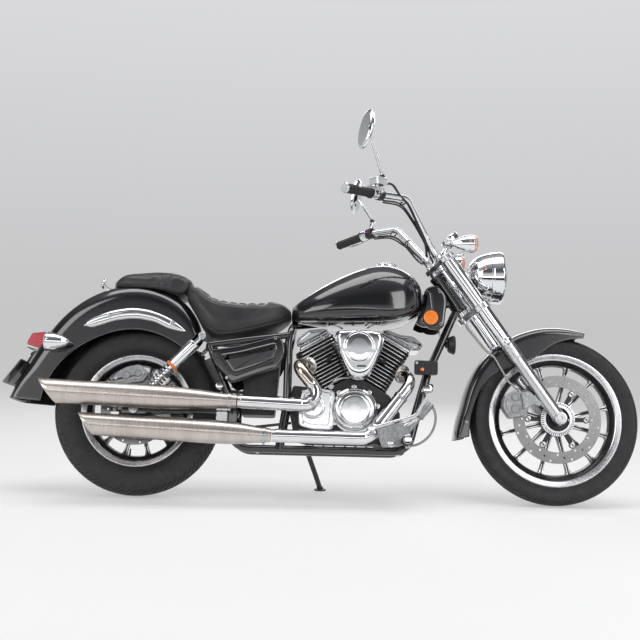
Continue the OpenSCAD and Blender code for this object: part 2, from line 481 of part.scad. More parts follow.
// ---- fork and steering ----
module on_fork(t) translate([wheelbase - sin(rake) * t, 0, zf + cos(rake) * t]) rotate([0, -rake, 0]) children();
module clamp_plate(h) linear_extrude(h) polygon([[-82, -24], [-82, 24], [-66, 40], [-28, 118], [-10, 134], [18, 134], [30, 118], [26, 80], [4, 50],
  [4, -50], [26, -80], [30, -118], [18, -134], [-10, -134], [-28, -118], [-66, -40]]);
module fork_clamps() color(alloy) stance() difference() {
  union() {
    on_fork(478) clamp_plate(24);
    on_fork(702) clamp_plate(18);
    rod(stem(480), stem(715), 20);
    rod(stem(722), stem(732), 16);
    rod(stem(704), stem(724), 24);
    // handlebar risers
    both() {
      rod([1096, 34, 884], [1088, 34, 900], 14);
      rod([1104, 34, 872], [1094, 34, 892], 14);
      ycyl(1085, 905, 22, 48, 22);
    }
    // headlight bracket and signal arms
    plate(-22, 22, [[1196, 676], [1236, 690], [1300, 736], [1290, 746], [1236, 716], [1206, 706]]);
    both() rod([1134, 120, 894], [1176, 152, 899], 6);
  }
  both() on_fork(0) translate([0, leg_y, 300]) cylinder(h = 500, r = 27.05);
  ycyl(1085, 905, -80, 80, bar_r + 0.05);
  translate([1285, 0, 845]) rotate([0, 90, 0]) translate([0, 0, -90]) cylinder(h = 160, r = 101);
}
module fork_covers() color(chromed) stance() both() on_fork(0) translate([0, leg_y, 0]) {
  translate([0, 0, 325]) cylinder(h = 375, r = 27);
  translate([0, 0, 700]) cylinder(h = 26, r = 24);
}
module fork_sliders() color(alloy) stance() difference() {
  union() {
    both() on_fork(0) translate([0, leg_y, 0]) {
      translate([0, 0, -6]) cylinder(h = 330.9, r = 25.5);
      translate([0, 0, -22]) cylinder(h = 16.1, r1 = 17, r2 = 24);
    }
    both() ycyl(wheelbase, zf, 77, 124, 23);
    on_fork(0) translate([-30, -100, 60]) rotate([90, 0, 0]) cylinder(h = 14, r = 12);
  }
  ycyl(wheelbase, zf, -140, 140, axle_r + 0.05);
}
module front_axle() color(steel) stance() difference() {
  union() {
    ycyl(wheelbase, zf, -130, 130, axle_r);
    both() ycyl(wheelbase, zf, 125.8, 131, 16);
    ycyl(wheelbase, zf, 58, 74.2, 16);
    ycyl(wheelbase, zf, -74.2, -70, 16);
  }
  ycyl(wheelbase, zf, -140, -90, 5);
}
module front_caliper() color(alloy) stance() difference() {
  union() {
    plate(-94, -44, [[1352, 308], [1416, 322], [1424, 366], [1388, 420], [1356, 404], [1330, 382], [1326, 348]]);
    plate(-108, -86, [[1400, 340], [1438, 360], [1456, 352], [1470, 364], [1420, 410], [1392, 400]]);
  }
  ycyl(wheelbase, zf, -69.7, -54.3, disc_front_r + 6);
  on_fork(0) translate([0, -leg_y, -10]) cylinder(h = 340, r = 25.8);
}
module brake_hose() color(rubber) stance() {
  tube([[1382, -82, 420], [1352, -82, 440], [1300, -82, 530], [1262, -80, 562], [1204, -72, 636], [1190, -72, 664]], 4.5, 18, 8, 3);
  tube([[930, -262, 1098], [968, -222, 1060], [1040, -120, 940], [1052, -60, 910], [1040, -20, 930], [1060, -12, 940]], 4.5, 18, 8, 3);
  tube([[900, 246, 1059], [966, 230, 1054], [1036, 130, 940], [1052, 60, 910], [1040, 20, 930], [1060, 12, 940]], 4, 18, 8, 3);
}
bar_pts = [[1085, 0, 905], [1085, 75, 905], [962, 212, 1084], [857, 272, 1080], [735, bar_end_y, 1060]];
module handlebar() color(chromed) stance() tube(concat([for (i = [4 : -1 : 1]) [bar_pts[i][0], -bar_pts[i][1], bar_pts[i][2]]], [for (i = [1 : 4]) bar_pts[i]]), bar_r, 45, 24);
grip_u = unit(bar_pts[4] - bar_pts[3]);
module grips() color(rubber) stance() both() difference() {
  union() {
    rod(bar_pts[4] - 132 * grip_u, bar_pts[4] + 4 * grip_u, 17);
    rod(bar_pts[4] - 132 * grip_u, bar_pts[4] - 126 * grip_u, 21);
    rod(bar_pts[4] + 1 * grip_u, bar_pts[4] + 8 * grip_u, 19);
  }
  rod(bar_pts[4] - 150 * grip_u, bar_pts[4] + 0.05 * grip_u, bar_r + 0.02);
}
hb = bar_pts[4] - 146 * grip_u;
fwd = unit(cross(grip_u, [0, 0, 1]));
// local axes at a hand control: X inboard along the bar, Y forward, Z up
module hand_axes() { u = -grip_u; w = cross(u, fwd); multmatrix([[u[0], fwd[0], w[0], hb[0]], [u[1], fwd[1], w[1], hb[1]], [u[2], fwd[2], w[2], hb[2]], [0, 0, 0, 1]]) children(); }
module hand_controls() color(alloy) stance() both() hand_axes() difference() {
  union() {
    translate([-12, 0, 0]) rotate([0, 90, 0]) cylinder(h = 30, r = 20);
    translate([-8, 14, -9]) cube([18, 36, 18]);
    translate([0, 0, -4]) linear_extrude(8) polygon([[10, 36], [8, 54], [-28, 66], [-110, 62], [-134, 56], [-136, 48], [-126, 46], [-40, 52], [-8, 40]]);
    translate([-4, 8, 14]) cube([14, 16, 14]);
    translate([-22, 2, 24]) cube([54, 40, 28]);
  }
  translate([-60, 0, 0]) rotate([0, 90, 0]) cylinder(h = 120, r = bar_r + 0.02);
}
module mirrors() color(chromed) stance() both() {
  tube([hb + fwd * 24 - grip_u * 22 + [0, 0, 58], [866, 296, 1140], [824, 376, 1236], [808, 392, 1262]], 5, 20);
  translate([802, 398, 1275]) rotate([0, 10, -24]) scale([0.24, 0.62, 1]) sphere(r = 76, $fn = 36);
}
module headlight_shell() color(chromed) stance() translate([1210, 0, 845]) rotate([0, 90, 0]) rotate_extrude($fn = 64)
  polygon([[0, 0], [34, 3], [64, 20], [84, 48], [94, 84], [99, 112], [99, 128], [93, 132], [88, 124], [88, 110], [0, 110]]);
module headlight_lens() color(clear) stance() translate([1210, 0, 845]) rotate([0, 90, 0]) rotate_extrude($fn = 64)
  polygon([[0, 111], [87.6, 111], [87.6, 126], [72, 138], [44, 148], [0, 152]]);
module instrument() color(black) stance() {
  translate([1150, 0, 985]) rotate([0, -40, 0]) rotate_extrude() polygon([[0, -24], [20, -24], [36, -6], [38, 16], [34, 18], [0, 16]]);
  rod([1104, 0, 906], [1136, 0, 962], 9);
}
module front_signals() color(chromed) stance() both()
  translate([1132, 160, 935]) rotate([0, 90, 0]) rotate_extrude() polygon([[0, 0], [14, 12], [26, 34], [32, 58], [33, 80], [31, 90], [0, 96]]);

// ---- side stand ----
module side_stand() color(steel) stance() {
  difference() {
    union() {
      stand_axes() {
        translate([0, 0, -8]) cylinder(h = 16, r = 15);
        translate([8, -9, -6]) cube([30, 18, 12]);
      }
      rod(stand_p + 24 * stand_e1, foot + [-1, -2, 10], 10);
      translate(foot) rotate([lean, 0, 0]) cylinder(h = 7, r = 24);
    }
    stand_axes() translate([0, 0, -30]) cylinder(h = 60, r = 6.05);
  }
}

main_frame();
swingarm();
rear_axle();
shocks();
crankcase();
cylinders();
rocker_covers();
intake();
air_cleaner_cover();
engine_covers();
exhaust_pipes();
mufflers();
fuel_tank();
fuel_cap();
rider_seat();
pillion_seat();
rear_fender();
fender_trims();
tail_light();
rear_signals();
number_plate();
side_covers();
battery_box();
neck_covers();
regulator_box();
horn();
foot_controls();
rider_pegs();
passenger_pegs();
rear_caliper();
chain_guard();
rear_tyre();
rear_rim();
rear_disc();
drive_sprocket();
fork_clamps();
fork_covers();
fork_sliders();
front_axle();
front_fender();
front_caliper();
brake_hose();
handlebar();
grips();
hand_controls();
mirrors();
headlight_shell();
headlight_lens();
instrument();
front_signals();
front_tyre();
front_rim();
front_disc();
side_stand();
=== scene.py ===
import bpy, bmesh, math
import numpy as np
from mathutils import Vector, Matrix


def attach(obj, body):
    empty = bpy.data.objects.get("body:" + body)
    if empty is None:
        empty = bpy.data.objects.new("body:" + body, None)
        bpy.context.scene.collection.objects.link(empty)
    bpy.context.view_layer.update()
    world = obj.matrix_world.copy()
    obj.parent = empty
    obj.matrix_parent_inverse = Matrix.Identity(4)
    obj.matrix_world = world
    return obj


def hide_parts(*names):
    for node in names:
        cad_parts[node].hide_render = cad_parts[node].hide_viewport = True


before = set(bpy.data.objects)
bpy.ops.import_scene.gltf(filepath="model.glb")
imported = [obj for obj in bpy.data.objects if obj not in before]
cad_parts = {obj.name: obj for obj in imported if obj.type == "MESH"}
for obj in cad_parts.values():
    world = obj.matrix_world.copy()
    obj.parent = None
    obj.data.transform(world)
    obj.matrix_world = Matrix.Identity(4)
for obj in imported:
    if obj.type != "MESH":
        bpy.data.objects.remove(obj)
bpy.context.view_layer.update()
# Cruiser motorcycle, visual model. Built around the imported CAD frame.
# Helper geometry is written in the upright bike's axes, in millimetres (X forward, Y to the
# rider's left, Z up, rear axle at X = 0), and W() leans it onto the side stand, in metres.
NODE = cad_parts
scene = bpy.context.scene

LEAN = math.radians(10)
CL, SL = math.cos(LEAN), math.sin(LEAN)
ZR, ZF, WB = 308.66, 310.93, 1530.0
RAKE = math.radians(35)
MIDX, MIDY = 677.5, 184.9


def W(p):
    p = np.asarray(p, float).reshape(-1, 3)
    return np.stack([p[:, 0] - MIDX, p[:, 1] * CL + p[:, 2] * SL - MIDY, -p[:, 1] * SL + p[:, 2] * CL], 1) / 1000


def V(*p):
    return np.array(p, float)


def unit(v):
    v = np.asarray(v, float)
    return v / max(np.linalg.norm(v), 1e-12)


def axes(p, z, x=None):
    """4x4 with Z along z at p."""
    z = unit(z)
    x = np.array([0, 0, 1.0]) if x is None else np.asarray(x, float)
    if abs(np.dot(unit(x), z)) > 0.95:
        x = np.array([1.0, 0, 0]) if abs(z[0]) < 0.9 else np.array([0, 1.0, 0])
    x = unit(x - z * np.dot(x, z))
    y = np.cross(z, x)
    m = np.eye(4)
    m[:3, 0], m[:3, 1], m[:3, 2], m[:3, 3] = x, y, z, p
    return m


def moved(vf, m):
    v, f = vf[0], vf[1]
    v = np.asarray(v, float) @ m[:3, :3].T + m[:3, 3]
    return (v, f) + tuple(vf[2:])


def mirror(vf):
    v = np.asarray(vf[0], float) * [1, -1, 1]
    return (v, [tuple(reversed(q)) for q in vf[1]]) + tuple(vf[2:])


def revolve(prof, n=48, a0=0.0, a1=360.0):
    """Profile [(r, z)] turned about Z. r = 0 points are poles. A profile rising in z faces outwards."""
    full = abs(a1 - a0 - 360) < 1e-6
    v, rows = [], []
    for r, z in prof:
        if abs(r) < 1e-9:
            rows.append([len(v)] * (n if full else n + 1))
            v.append((0, 0, z))
        else:
            k = n if full else n + 1
            rows.append(list(range(len(v), len(v) + k)))
            for i in range(k):
                a = math.radians(a0 + (a1 - a0) * i / n)
                v.append((r * math.cos(a), r * math.sin(a), z))
    f = []
    for p, q in zip(rows[:-1], rows[1:]):
        for i in range(n):
            j = (i + 1) % n if full else i + 1
            face = [p[i], p[j], q[j], q[i]]
            face = [x for k, x in enumerate(face) if x != face[k - 1]]
            if len(face) >= 3:
                f.append(tuple(face))
    return np.array(v, float), f


def rounded_profile(prof, r=1.5, steps=3):
    """Rounds the inner corners of a profile."""
    out = [prof[0]]
    for a, b, c in zip(prof[:-2], prof[1:-1], prof[2:]):
        a, b, c = np.array(a, float), np.array(b, float), np.array(c, float)
        la, lc = np.linalg.norm(a - b), np.linalg.norm(c - b)
        if la < 1e-6 or lc < 1e-6:
            continue
        d = min(r, la * 0.45, lc * 0.45)
        p, q = b + (a - b) / la * d, b + (c - b) / lc * d
        for k in range(steps + 1):
            t = k / steps
            out.append(tuple((1 - t) ** 2 * p + 2 * t * (1 - t) * b + t * t * q))
    out.append(prof[-1])
    return out


def lathe(p, d, prof, n=48, round_r=1.0, x=None):
    if round_r:
        prof = rounded_profile(prof, round_r)
    return moved(revolve(prof, n), axes(p, d, x))


def rod(p, q, r, r2=None, n=32, ch=1.0):
    p, q = np.asarray(p, float), np.asarray(q, float)
    l = np.linalg.norm(q - p)
    r2 = r if r2 is None else r2
    ch = min(ch, l * 0.3, r * 0.5, r2 * 0.5)
    return moved(revolve([(0, 0), (r - ch, 0), (r - ch * 0.3, ch * 0.3), (r, ch), (r2, l - ch), (r2 - ch * 0.3, l - ch * 0.3), (r2 - ch, l), (0, l)], n), axes(p, q - p))


def ycyl(x, z, y0, y1, r, r2=None, n=48, ch=1.0):
    return rod((x, y0, z), (x, y1, z), r, r2, n, ch)


def spline(pts, per=8, closed=False):
    """Centripetal Catmull-Rom through points of any dimension."""
    P = [np.asarray(p, float) for p in pts]
    if closed:
        P = [P[-1]] + P + [P[0], P[1]]
    else:
        P = [2 * P[0] - P[1]] + P + [2 * P[-1] - P[-2]]
    out = []
    for i in range(1, len(P) - 2):
        p0, p1, p2, p3 = P[i - 1:i + 3]
        t0 = 0.0
        t1 = t0 + max(np.linalg.norm(p1 - p0), 1e-6) ** 0.5
        t2 = t1 + max(np.linalg.norm(p2 - p1), 1e-6) ** 0.5
        t3 = t2 + max(np.linalg.norm(p3 - p2), 1e-6) ** 0.5
        for k in range(per):
            t = t1 + (t2 - t1) * k / per
            a1 = (t1 - t) / (t1 - t0) * p0 + (t - t0) / (t1 - t0) * p1
            a2 = (t2 - t) / (t2 - t1) * p1 + (t - t1) / (t2 - t1) * p2
            a3 = (t3 - t) / (t3 - t2) * p2 + (t - t2) / (t3 - t2) * p3
            b1 = (t2 - t) / (t2 - t0) * a1 + (t - t0) / (t2 - t0) * a2
            b2 = (t3 - t) / (t3 - t1) * a2 + (t - t1) / (t3 - t1) * a3
            out.append((t2 - t) / (t2 - t1) * b1 + (t - t1) / (t2 - t1) * b2)
    if not closed:
        out.append(P[-2])
    return np.array(out)


def bend(pts, br, per=10):
    """Corner list turned with arcs of radius br, as the CAD route does."""
    P = [np.asarray(p, float) for p in pts]
    out = [P[0]]
    for a, b, c in zip(P[:-2], P[1:-1], P[2:]):
        u, v = unit(b - a), unit(c - b)
        w = math.acos(max(-1, min(1, float(np.dot(u, v)))))
        if w < 1e-4:
            out.append(b)
            continue
        t = br * math.tan(w / 2)
        q = unit(v - u * np.dot(u, v))
        o = b - u * t + q * br
        for i in range(per + 1):
            e = w * i / per
            out.append(o - q * br * math.cos(e) + u * br * math.sin(e))
    out.append(P[-1])
    return np.array(out)


def sweep(path, r, n=24, caps=True, closed=False, prof=None):
    """Tube along a path; r is a number or one radius a point; prof [(a, b)] replaces the circle."""
    P = np.asarray(path, float)
    m = len(P)
    R = np.full(m, float(r)) if np.isscalar(r) else np.asarray(r, float)
    T = np.gradient(P, axis=0) if not closed else np.roll(P, -1, 0) - np.roll(P, 1, 0)
    T /= np.linalg.norm(T, axis=1)[:, None]
    x = np.array([0, 0, 1.0]) if abs(T[0][2]) < 0.8 else np.array([1.0, 0, 0])
    x = unit(x - T[0] * np.dot(x, T[0]))
    X = [x]
    for i in range(1, m):
        x = unit(X[-1] - T[i] * np.dot(X[-1], T[i]))
        X.append(x)
    X = np.array(X)
    if closed:
        back = unit(X[-1] - T[0] * np.dot(X[-1], T[0]))
        ang = math.atan2(float(np.dot(np.cross(back, X[0]), T[0])), float(np.dot(back, X[0])))
        for i in range(m):
            a = ang * i / m
            X[i] = X[i] * math.cos(a) + np.cross(T[i], X[i]) * math.sin(a)
    Y = np.cross(T, X)
    if prof is None:
        prof = [(math.cos(2 * math.pi * k / n), math.sin(2 * math.pi * k / n)) for k in range(n)]
    n = len(prof)
    A = np.array(prof, float)
    v = (P[:, None, :] + R[:, None, None] * (A[None, :, 0, None] * X[:, None, :] + A[None, :, 1, None] * Y[:, None, :])).reshape(-1, 3)
    f = []
    for i in range(m if closed else m - 1):
        j = (i + 1) % m
        for k in range(n):
            l = (k + 1) % n
            f.append((i * n + k, i * n + l, j * n + l, j * n + k))
    if caps and not closed:
        f.append(tuple(range(n - 1, -1, -1)))
        f.append(tuple((m - 1) * n + k for k in range(n)))
    return v, f


def loft(rings, cap0=True, cap1=True, closed_ring=True):
    R = np.asarray(rings, float)
    m, n = R.shape[:2]
    v = R.reshape(-1, 3)
    f = []
    for i in range(m - 1):
        for k in range(n if closed_ring else n - 1):
            l = (k + 1) % n
            f.append((i * n + k, (i + 1) * n + k, (i + 1) * n + l, i * n + l))
    if cap0:
        f.append(tuple(range(n)))
    if cap1:
        f.append(tuple((m - 1) * n + k for k in range(n - 1, -1, -1)))
    return v, f


def prism(pts, y0, y1, ch=0.0):
    """Polygon in X and Z between two Y values, with a chamfer; faces 0.. are bottom, top and sides."""
    P = np.asarray(pts, float)
    if poly_area(P) < 0:
        P = P[::-1]
    if ch:
        Q = inset(P, ch)
        rings = [[(a, y0, b) for a, b in Q], [(a, y0 + ch, b) for a, b in P], [(a, y1 - ch, b) for a, b in P], [(a, y1, b) for a, b in Q]]
    else:
        rings = [[(a, y0, b) for a, b in P], [(a, y1, b) for a, b in P]]
    v, f = loft(rings, True, True)
    return v, f


def poly_area(P):
    P = np.asarray(P, float)
    x, y = P[:, 0], P[:, 1]
    return 0.5 * float(np.sum(x * np.roll(y, -1) - np.roll(x, -1) * y))


def inset(P, d):
    """Offsets a counter-clockwise polygon inwards by d."""
    P = np.asarray(P, float)
    if poly_area(P) < 0:
        return inset(P[::-1], d)[::-1]
    a, b = np.roll(P, 1, 0), np.roll(P, -1, 0)
    u = P - a
    u = u / np.maximum(np.linalg.norm(u, axis=1), 1e-9)[:, None]
    w = b - P
    w = w / np.maximum(np.linalg.norm(w, axis=1), 1e-9)[:, None]
    n1 = np.stack([-u[:, 1], u[:, 0]], 1)
    n2 = np.stack([-w[:, 1], w[:, 0]], 1)
    n = n1 + n2
    l = np.maximum(np.sum(n * n1, axis=1), 0.35)
    return P + n / l[:, None] * d


def soft_poly(pts, r=8, per=5):
    """Rounds the corners of a closed polygon."""
    P = [np.asarray(p, float) for p in pts]
    out = []
    for i in range(len(P)):
        a, b, c = P[i - 1], P[i], P[(i + 1) % len(P)]
        la, lc = np.linalg.norm(a - b), np.linalg.norm(c - b)
        d = min(r, la * 0.48, lc * 0.48)
        p, q = b + (a - b) / la * d, b + (c - b) / lc * d
        for k in range(per + 1):
            t = k / per
            out.append((1 - t) ** 2 * p + 2 * t * (1 - t) * b + t * t * q)
    return np.array(out)


def puff(pts, y0, levels, side=-1):
    """A moulded panel: outline at y0, then [(inset, height)] rings outwards, side is the Y sign."""
    P = np.asarray(pts, float)
    if poly_area(P) < 0:
        P = P[::-1]
    rings = []
    for d, h in levels:
        Q = inset(P, d) if d else P
        rings.append([(a, y0 + side * h, b) for a, b in Q])
    if side < 0:
        rings = rings[::-1]
    return loft(rings, True, True)


def hexbolt(p, d, r=6, h=5, washer=True):
    out = []
    if washer:
        out.append(lathe(p, d, [(0, 0), (r * 1.45, 0), (r * 1.45, 1.2), (0, 1.2)], 24, 0.3))
    m = axes(np.asarray(p, float) + unit(d) * (1.2 if washer else 0), d)
    ring = [(r * math.cos(math.radians(60 * k)), r * math.sin(math.radians(60 * k))) for k in range(6)]
    v = [(x * 0.93, y * 0.93, -0.2) for x, y in ring] + [(x, y, 0.4) for x, y in ring] + [(x, y, h - 0.9) for x, y in ring] + [(x * 0.88, y * 0.88, h) for x, y in ring]
    f = []
    for i in range(3):
        for k in range(6):
            l = (k + 1) % 6
            f.append((i * 6 + k, i * 6 + l, (i + 1) * 6 + l, (i + 1) * 6 + k))
    f.append(tuple(range(5, -1, -1)))
    f.append(tuple(range(18, 24)))
    out.append(moved((np.array(v, float), f), m))
    return out


def capbolt(p, d, r=5, h=5):
    """Socket cap screw with a real recess."""
    s = r * 0.55
    return [lathe(p, d, [(0, -1), (r * 0.98, -1), (r, h - 0.8), (r - 0.8, h), (s, h), (s * 0.9, h - r * 0.7), (0, h - r * 0.7)], 18, 0.0)]


class Acc:
    """Collects shapes for one joined piece."""

    def __init__(s):
        s.v, s.f, s.m, s.n = [], [], [], 0

    def add(s, vf, m=0):
        if isinstance(vf, list):
            for x in vf:
                s.add(x, m)
            return s
        v, f = np.asarray(vf[0], float), vf[1]
        s.v.append(v)
        s.f += [tuple(i + s.n for i in q) for q in f]
        if len(vf) > 2:
            s.m += [int(i) for i in vf[2]]
        else:
            s.m += [m] * len(f)
        s.n += len(v)
        return s

    def both(s, vf, m=0):
        if isinstance(vf, list):
            for x in vf:
                s.both(x, m)
            return s
        s.add(vf, m)
        s.add(mirror(vf), m)
        return s

    def make(s, name, body, mats, bevel=0.0, seg=2, angle=35, sub=0, slot=None, replaces=(), smooth=True, weight=True, world=False, limit=30):
        v = np.concatenate(s.v)
        me = bpy.data.meshes.new(name)
        me.from_pydata((v if world else W(v)).tolist(), [], s.f)
        me.validate(verbose=False)
        me.update()
        mats = mats if isinstance(mats, (list, tuple)) else [mats]
        for m in mats:
            me.materials.append(m)
        if len(me.polygons) == len(s.m):
            me.polygons.foreach_set("material_index", s.m)
        if smooth:
            me.polygons.foreach_set("use_smooth", [True] * len(me.polygons))
            me.set_sharp_from_angle(angle=math.radians(angle))
        ob = bpy.data.objects.new(name, me)
        scene.collection.objects.link(ob)
        if sub:
            md = ob.modifiers.new("Subdivision", "SUBSURF")
            md.levels = md.render_levels = sub
        if bevel:
            md = ob.modifiers.new("Bevel", "BEVEL")
            md.width, md.segments = bevel / 1000, seg
            md.limit_method, md.angle_limit = "ANGLE", math.radians(limit)
            md.harden_normals = True
            md.use_clamp_overlap = True
        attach(ob, body)
        if replaces:
            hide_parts(*replaces)
        return ob


def piece(name, body, vf, mats, **k):
    a = Acc()
    a.add(vf)
    return a.make(name, body, mats, **k)


# ------------------------------------------------------------------ materials
def _nodes(name):
    m = bpy.data.materials.new(name)
    m.use_nodes = True
    nt = m.node_tree
    nt.nodes.clear()
    out = nt.nodes.new("ShaderNodeOutputMaterial")
    bs = nt.nodes.new("ShaderNodeBsdfPrincipled")
    nt.links.new(bs.outputs[0], out.inputs[0])
    return m, nt, bs


def _noise(nt, co, scale, detail=4, rough=0.55, stretch=None):
    n = nt.nodes.new("ShaderNodeTexNoise")
    n.inputs["Scale"].default_value = scale
    n.inputs["Detail"].default_value = detail
    n.inputs["Roughness"].default_value = rough
    if stretch is not None:
        mp = nt.nodes.new("ShaderNodeMapping")
        mp.inputs["Rotation"].default_value = stretch[1]
        mp.inputs["Scale"].default_value = stretch[0]
        nt.links.new(co, mp.inputs["Vector"])
        co = mp.outputs[0]
    nt.links.new(co, n.inputs["Vector"])
    return n.outputs["Fac"]


def _range(nt, fac, a, b, lo=0.3, hi=0.7):
    r = nt.nodes.new("ShaderNodeMapRange")
    r.inputs["From Min"].default_value = lo
    r.inputs["From Max"].default_value = hi
    r.inputs["To Min"].default_value = a
    r.inputs["To Max"].default_value = b
    nt.links.new(fac, r.inputs["Value"])
    return r.outputs[0]


def _mix(nt, fac, a, b):
    x = nt.nodes.new("ShaderNodeMix")
    x.data_type = "RGBA"
    for sock, val in ((x.inputs[6], a), (x.inputs[7], b)):
        if isinstance(val, (tuple, list)):
            sock.default_value = (*val[:3], 1)
        else:
            nt.links.new(val, sock)
    if isinstance(fac, float):
        x.inputs[0].default_value = fac
    else:
        nt.links.new(fac, x.inputs[0])
    return x.outputs[2]


def _math(nt, op, a, b=None):
    x = nt.nodes.new("ShaderNodeMath")
    x.operation = op
    for i, val in enumerate((a, b)):
        if val is None:
            continue
        if isinstance(val, (int, float)):
            x.inputs[i].default_value = val
        else:
            nt.links.new(val, x.inputs[i])
    return x.outputs[0]


def _bump(nt, bs, height, strength, dist, normal=None):
    b = nt.nodes.new("ShaderNodeBump")
    b.inputs["Strength"].default_value = strength
    b.inputs["Distance"].default_value = dist
    nt.links.new(height, b.inputs["Height"])
    if normal is not None:
        nt.links.new(normal, b.inputs["Normal"])
    nt.links.new(b.outputs[0], bs.inputs["Normal"])
    return b.outputs[0]


def _worn(nt, co, col, worn, amount, lo=0.52, hi=0.62):
    """Colour with wear along convex edges, broken up by noise."""
    g = nt.nodes.new("ShaderNodeNewGeometry")
    e = _range(nt, g.outputs["Pointiness"], 0.0, 1.0, lo, hi)
    n = _range(nt, _noise(nt, co, 90, 5, 0.7), 0.0, 1.0, 0.42, 0.62)
    f = _math(nt, "MULTIPLY", _math(nt, "MULTIPLY", e, n), amount)
    return _mix(nt, f, col, worn), f


def surface(name, col, rough, metal=0.0, var=0.12, rvar=0.06, scale=22.0, bump=0.0, bump_scale=400.0, dist=0.0004,
            coat=0.0, coat_rough=0.03, wear=0.0, worn=(0.6, 0.6, 0.6), stretch=None, dust=0.0, dust_col=(0.35, 0.33, 0.30), spec=0.5, ior=1.5, sheen=0.0, streak=0.0):
    """A metal, paint, plastic or rubber: colour and roughness drift with noise, fine bump, wear on edges and dust."""
    m, nt, bs = _nodes(name)
    tc = nt.nodes.new("ShaderNodeTexCoord")
    co = tc.outputs["Object"]
    big = _noise(nt, co, scale, 5, 0.6)
    fine = _noise(nt, co, bump_scale, 3, 0.6, stretch)
    dark = tuple(c * (1 - var) for c in col)
    lite = tuple(min(1, c * (1 + var)) for c in col)
    c = _mix(nt, _range(nt, big, 0.0, 1.0), dark, lite)
    if streak:
        c = _mix(nt, _range(nt, fine, 0.0, streak), c, tuple(x * 0.55 for x in col))
    if wear:
        c, wf = _worn(nt, co, c, worn, wear)
    if dust:
        g = nt.nodes.new("ShaderNodeNewGeometry")
        s = nt.nodes.new("ShaderNodeSeparateXYZ")
        nt.links.new(g.outputs["Normal"], s.inputs[0])
        up = _range(nt, s.outputs[2], 0.0, 1.0, 0.1, 1.0)
        d = _math(nt, "MULTIPLY", _math(nt, "MULTIPLY", up, _range(nt, _noise(nt, co, 35, 6, 0.7), 0.2, 1.0)), dust)
        c = _mix(nt, d, c, dust_col)
    nt.links.new(c, bs.inputs["Base Color"])
    r = _range(nt, _noise(nt, co, scale * 2.3, 6, 0.65), max(0.0, rough - rvar), min(1.0, rough + rvar))
    nt.links.new(r, bs.inputs["Roughness"])
    bs.inputs["Metallic"].default_value = metal
    bs.inputs["Specular IOR Level"].default_value = spec
    bs.inputs["IOR"].default_value = ior
    bs.inputs["Coat Weight"].default_value = coat
    bs.inputs["Coat Roughness"].default_value = coat_rough
    if sheen:
        bs.inputs["Sheen Weight"].default_value = sheen
        bs.inputs["Sheen Roughness"].default_value = 0.5
    if bump:
        _bump(nt, bs, fine, bump, dist)
    return m

GLOSS = surface("gloss_black_paint", (0.0065, 0.0068, 0.0085), 0.16, var=0.25, rvar=0.03, scale=6, bump=0.02, bump_scale=900, dist=0.00004, coat=1.0, coat_rough=0.012, spec=0.6)
CHROME = surface("chrome", (0.80, 0.81, 0.83), 0.05, 1.0, var=0.03, rvar=0.022, scale=9, bump=0.012, bump_scale=60, dist=0.0002)
CHROME_SOFT = surface("satin_chrome", (0.74, 0.745, 0.76), 0.17, 1.0, var=0.05, rvar=0.05, scale=18, bump=0.03, bump_scale=700, dist=0.0001)
STEEL = surface("zinc_steel", (0.52, 0.52, 0.53), 0.28, 1.0, var=0.12, rvar=0.08, scale=60, bump=0.05, bump_scale=900, wear=0.5, worn=(0.8, 0.8, 0.8))
ALLOY = surface("cast_alloy", (0.30, 0.304, 0.315), 0.38, 0.9, var=0.12, rvar=0.07, scale=34, bump=0.12, bump_scale=1500, dist=0.0002, wear=0.6, worn=(0.82, 0.82, 0.84))
SLIDER = surface("polished_slider", (0.63, 0.635, 0.65), 0.25, 0.95, var=0.05, rvar=0.06, scale=20, bump=0.05, bump_scale=500, dist=0.0001, stretch=((1.0, 1.0, 0.06), (0, RAKE, 0)))
MACHINED = surface("machined_face", (0.66, 0.66, 0.68), 0.24, 1.0, var=0.08, rvar=0.06, scale=50, bump=0.10, bump_scale=2200, dist=0.0001)
BLACK = surface("satin_black_frame", (0.012, 0.012, 0.014), 0.33, var=0.3, rvar=0.08, scale=30, bump=0.06, bump_scale=1200, dist=0.0001, coat=0.3, coat_rough=0.2, wear=0.35, worn=(0.10, 0.10, 0.10), dust=0.10)
ENGINE = surface("engine_black", (0.010, 0.010, 0.011), 0.46, var=0.35, rvar=0.10, scale=40, bump=0.25, bump_scale=1700, dist=0.0002, wear=0.4, worn=(0.12, 0.12, 0.12), dust=0.14)
PLASTIC = surface("black_plastic", (0.015, 0.015, 0.017), 0.42, var=0.25, rvar=0.08, scale=24, bump=0.28, bump_scale=2400, dist=0.00015, wear=0.3, worn=(0.09, 0.09, 0.09), dust=0.08)
RUBBER = surface("black_rubber", (0.018, 0.018, 0.019), 0.62, var=0.3, rvar=0.10, scale=45, bump=0.3, bump_scale=2600, dist=0.0002, wear=0.45, worn=(0.07, 0.068, 0.066), dust=0.15)
HOSE = surface("hose_rubber", (0.014, 0.014, 0.015), 0.5, var=0.25, rvar=0.08, scale=60, bump=0.35, bump_scale=1500, dist=0.0002, dust=0.1)
PLATE = surface("blank_plate_enamel", (0.36, 0.355, 0.35), 0.45, 0.2, var=0.08, rvar=0.08, scale=30, bump=0.08, bump_scale=800, dust=0.1)
WHITE = surface("reservoir_silver_paint", (0.62, 0.63, 0.68), 0.26, 0.55, var=0.05, rvar=0.05, scale=30, bump=0.05, bump_scale=1500, coat=0.6)
RED_P = surface("red_switch_plastic", (0.55, 0.01, 0.04), 0.35, var=0.15, scale=80, bump=0.1, bump_scale=2000)
BLUE_P = surface("blue_switch_plastic", (0.02, 0.13, 0.50), 0.35, var=0.15, scale=80, bump=0.1, bump_scale=2000)
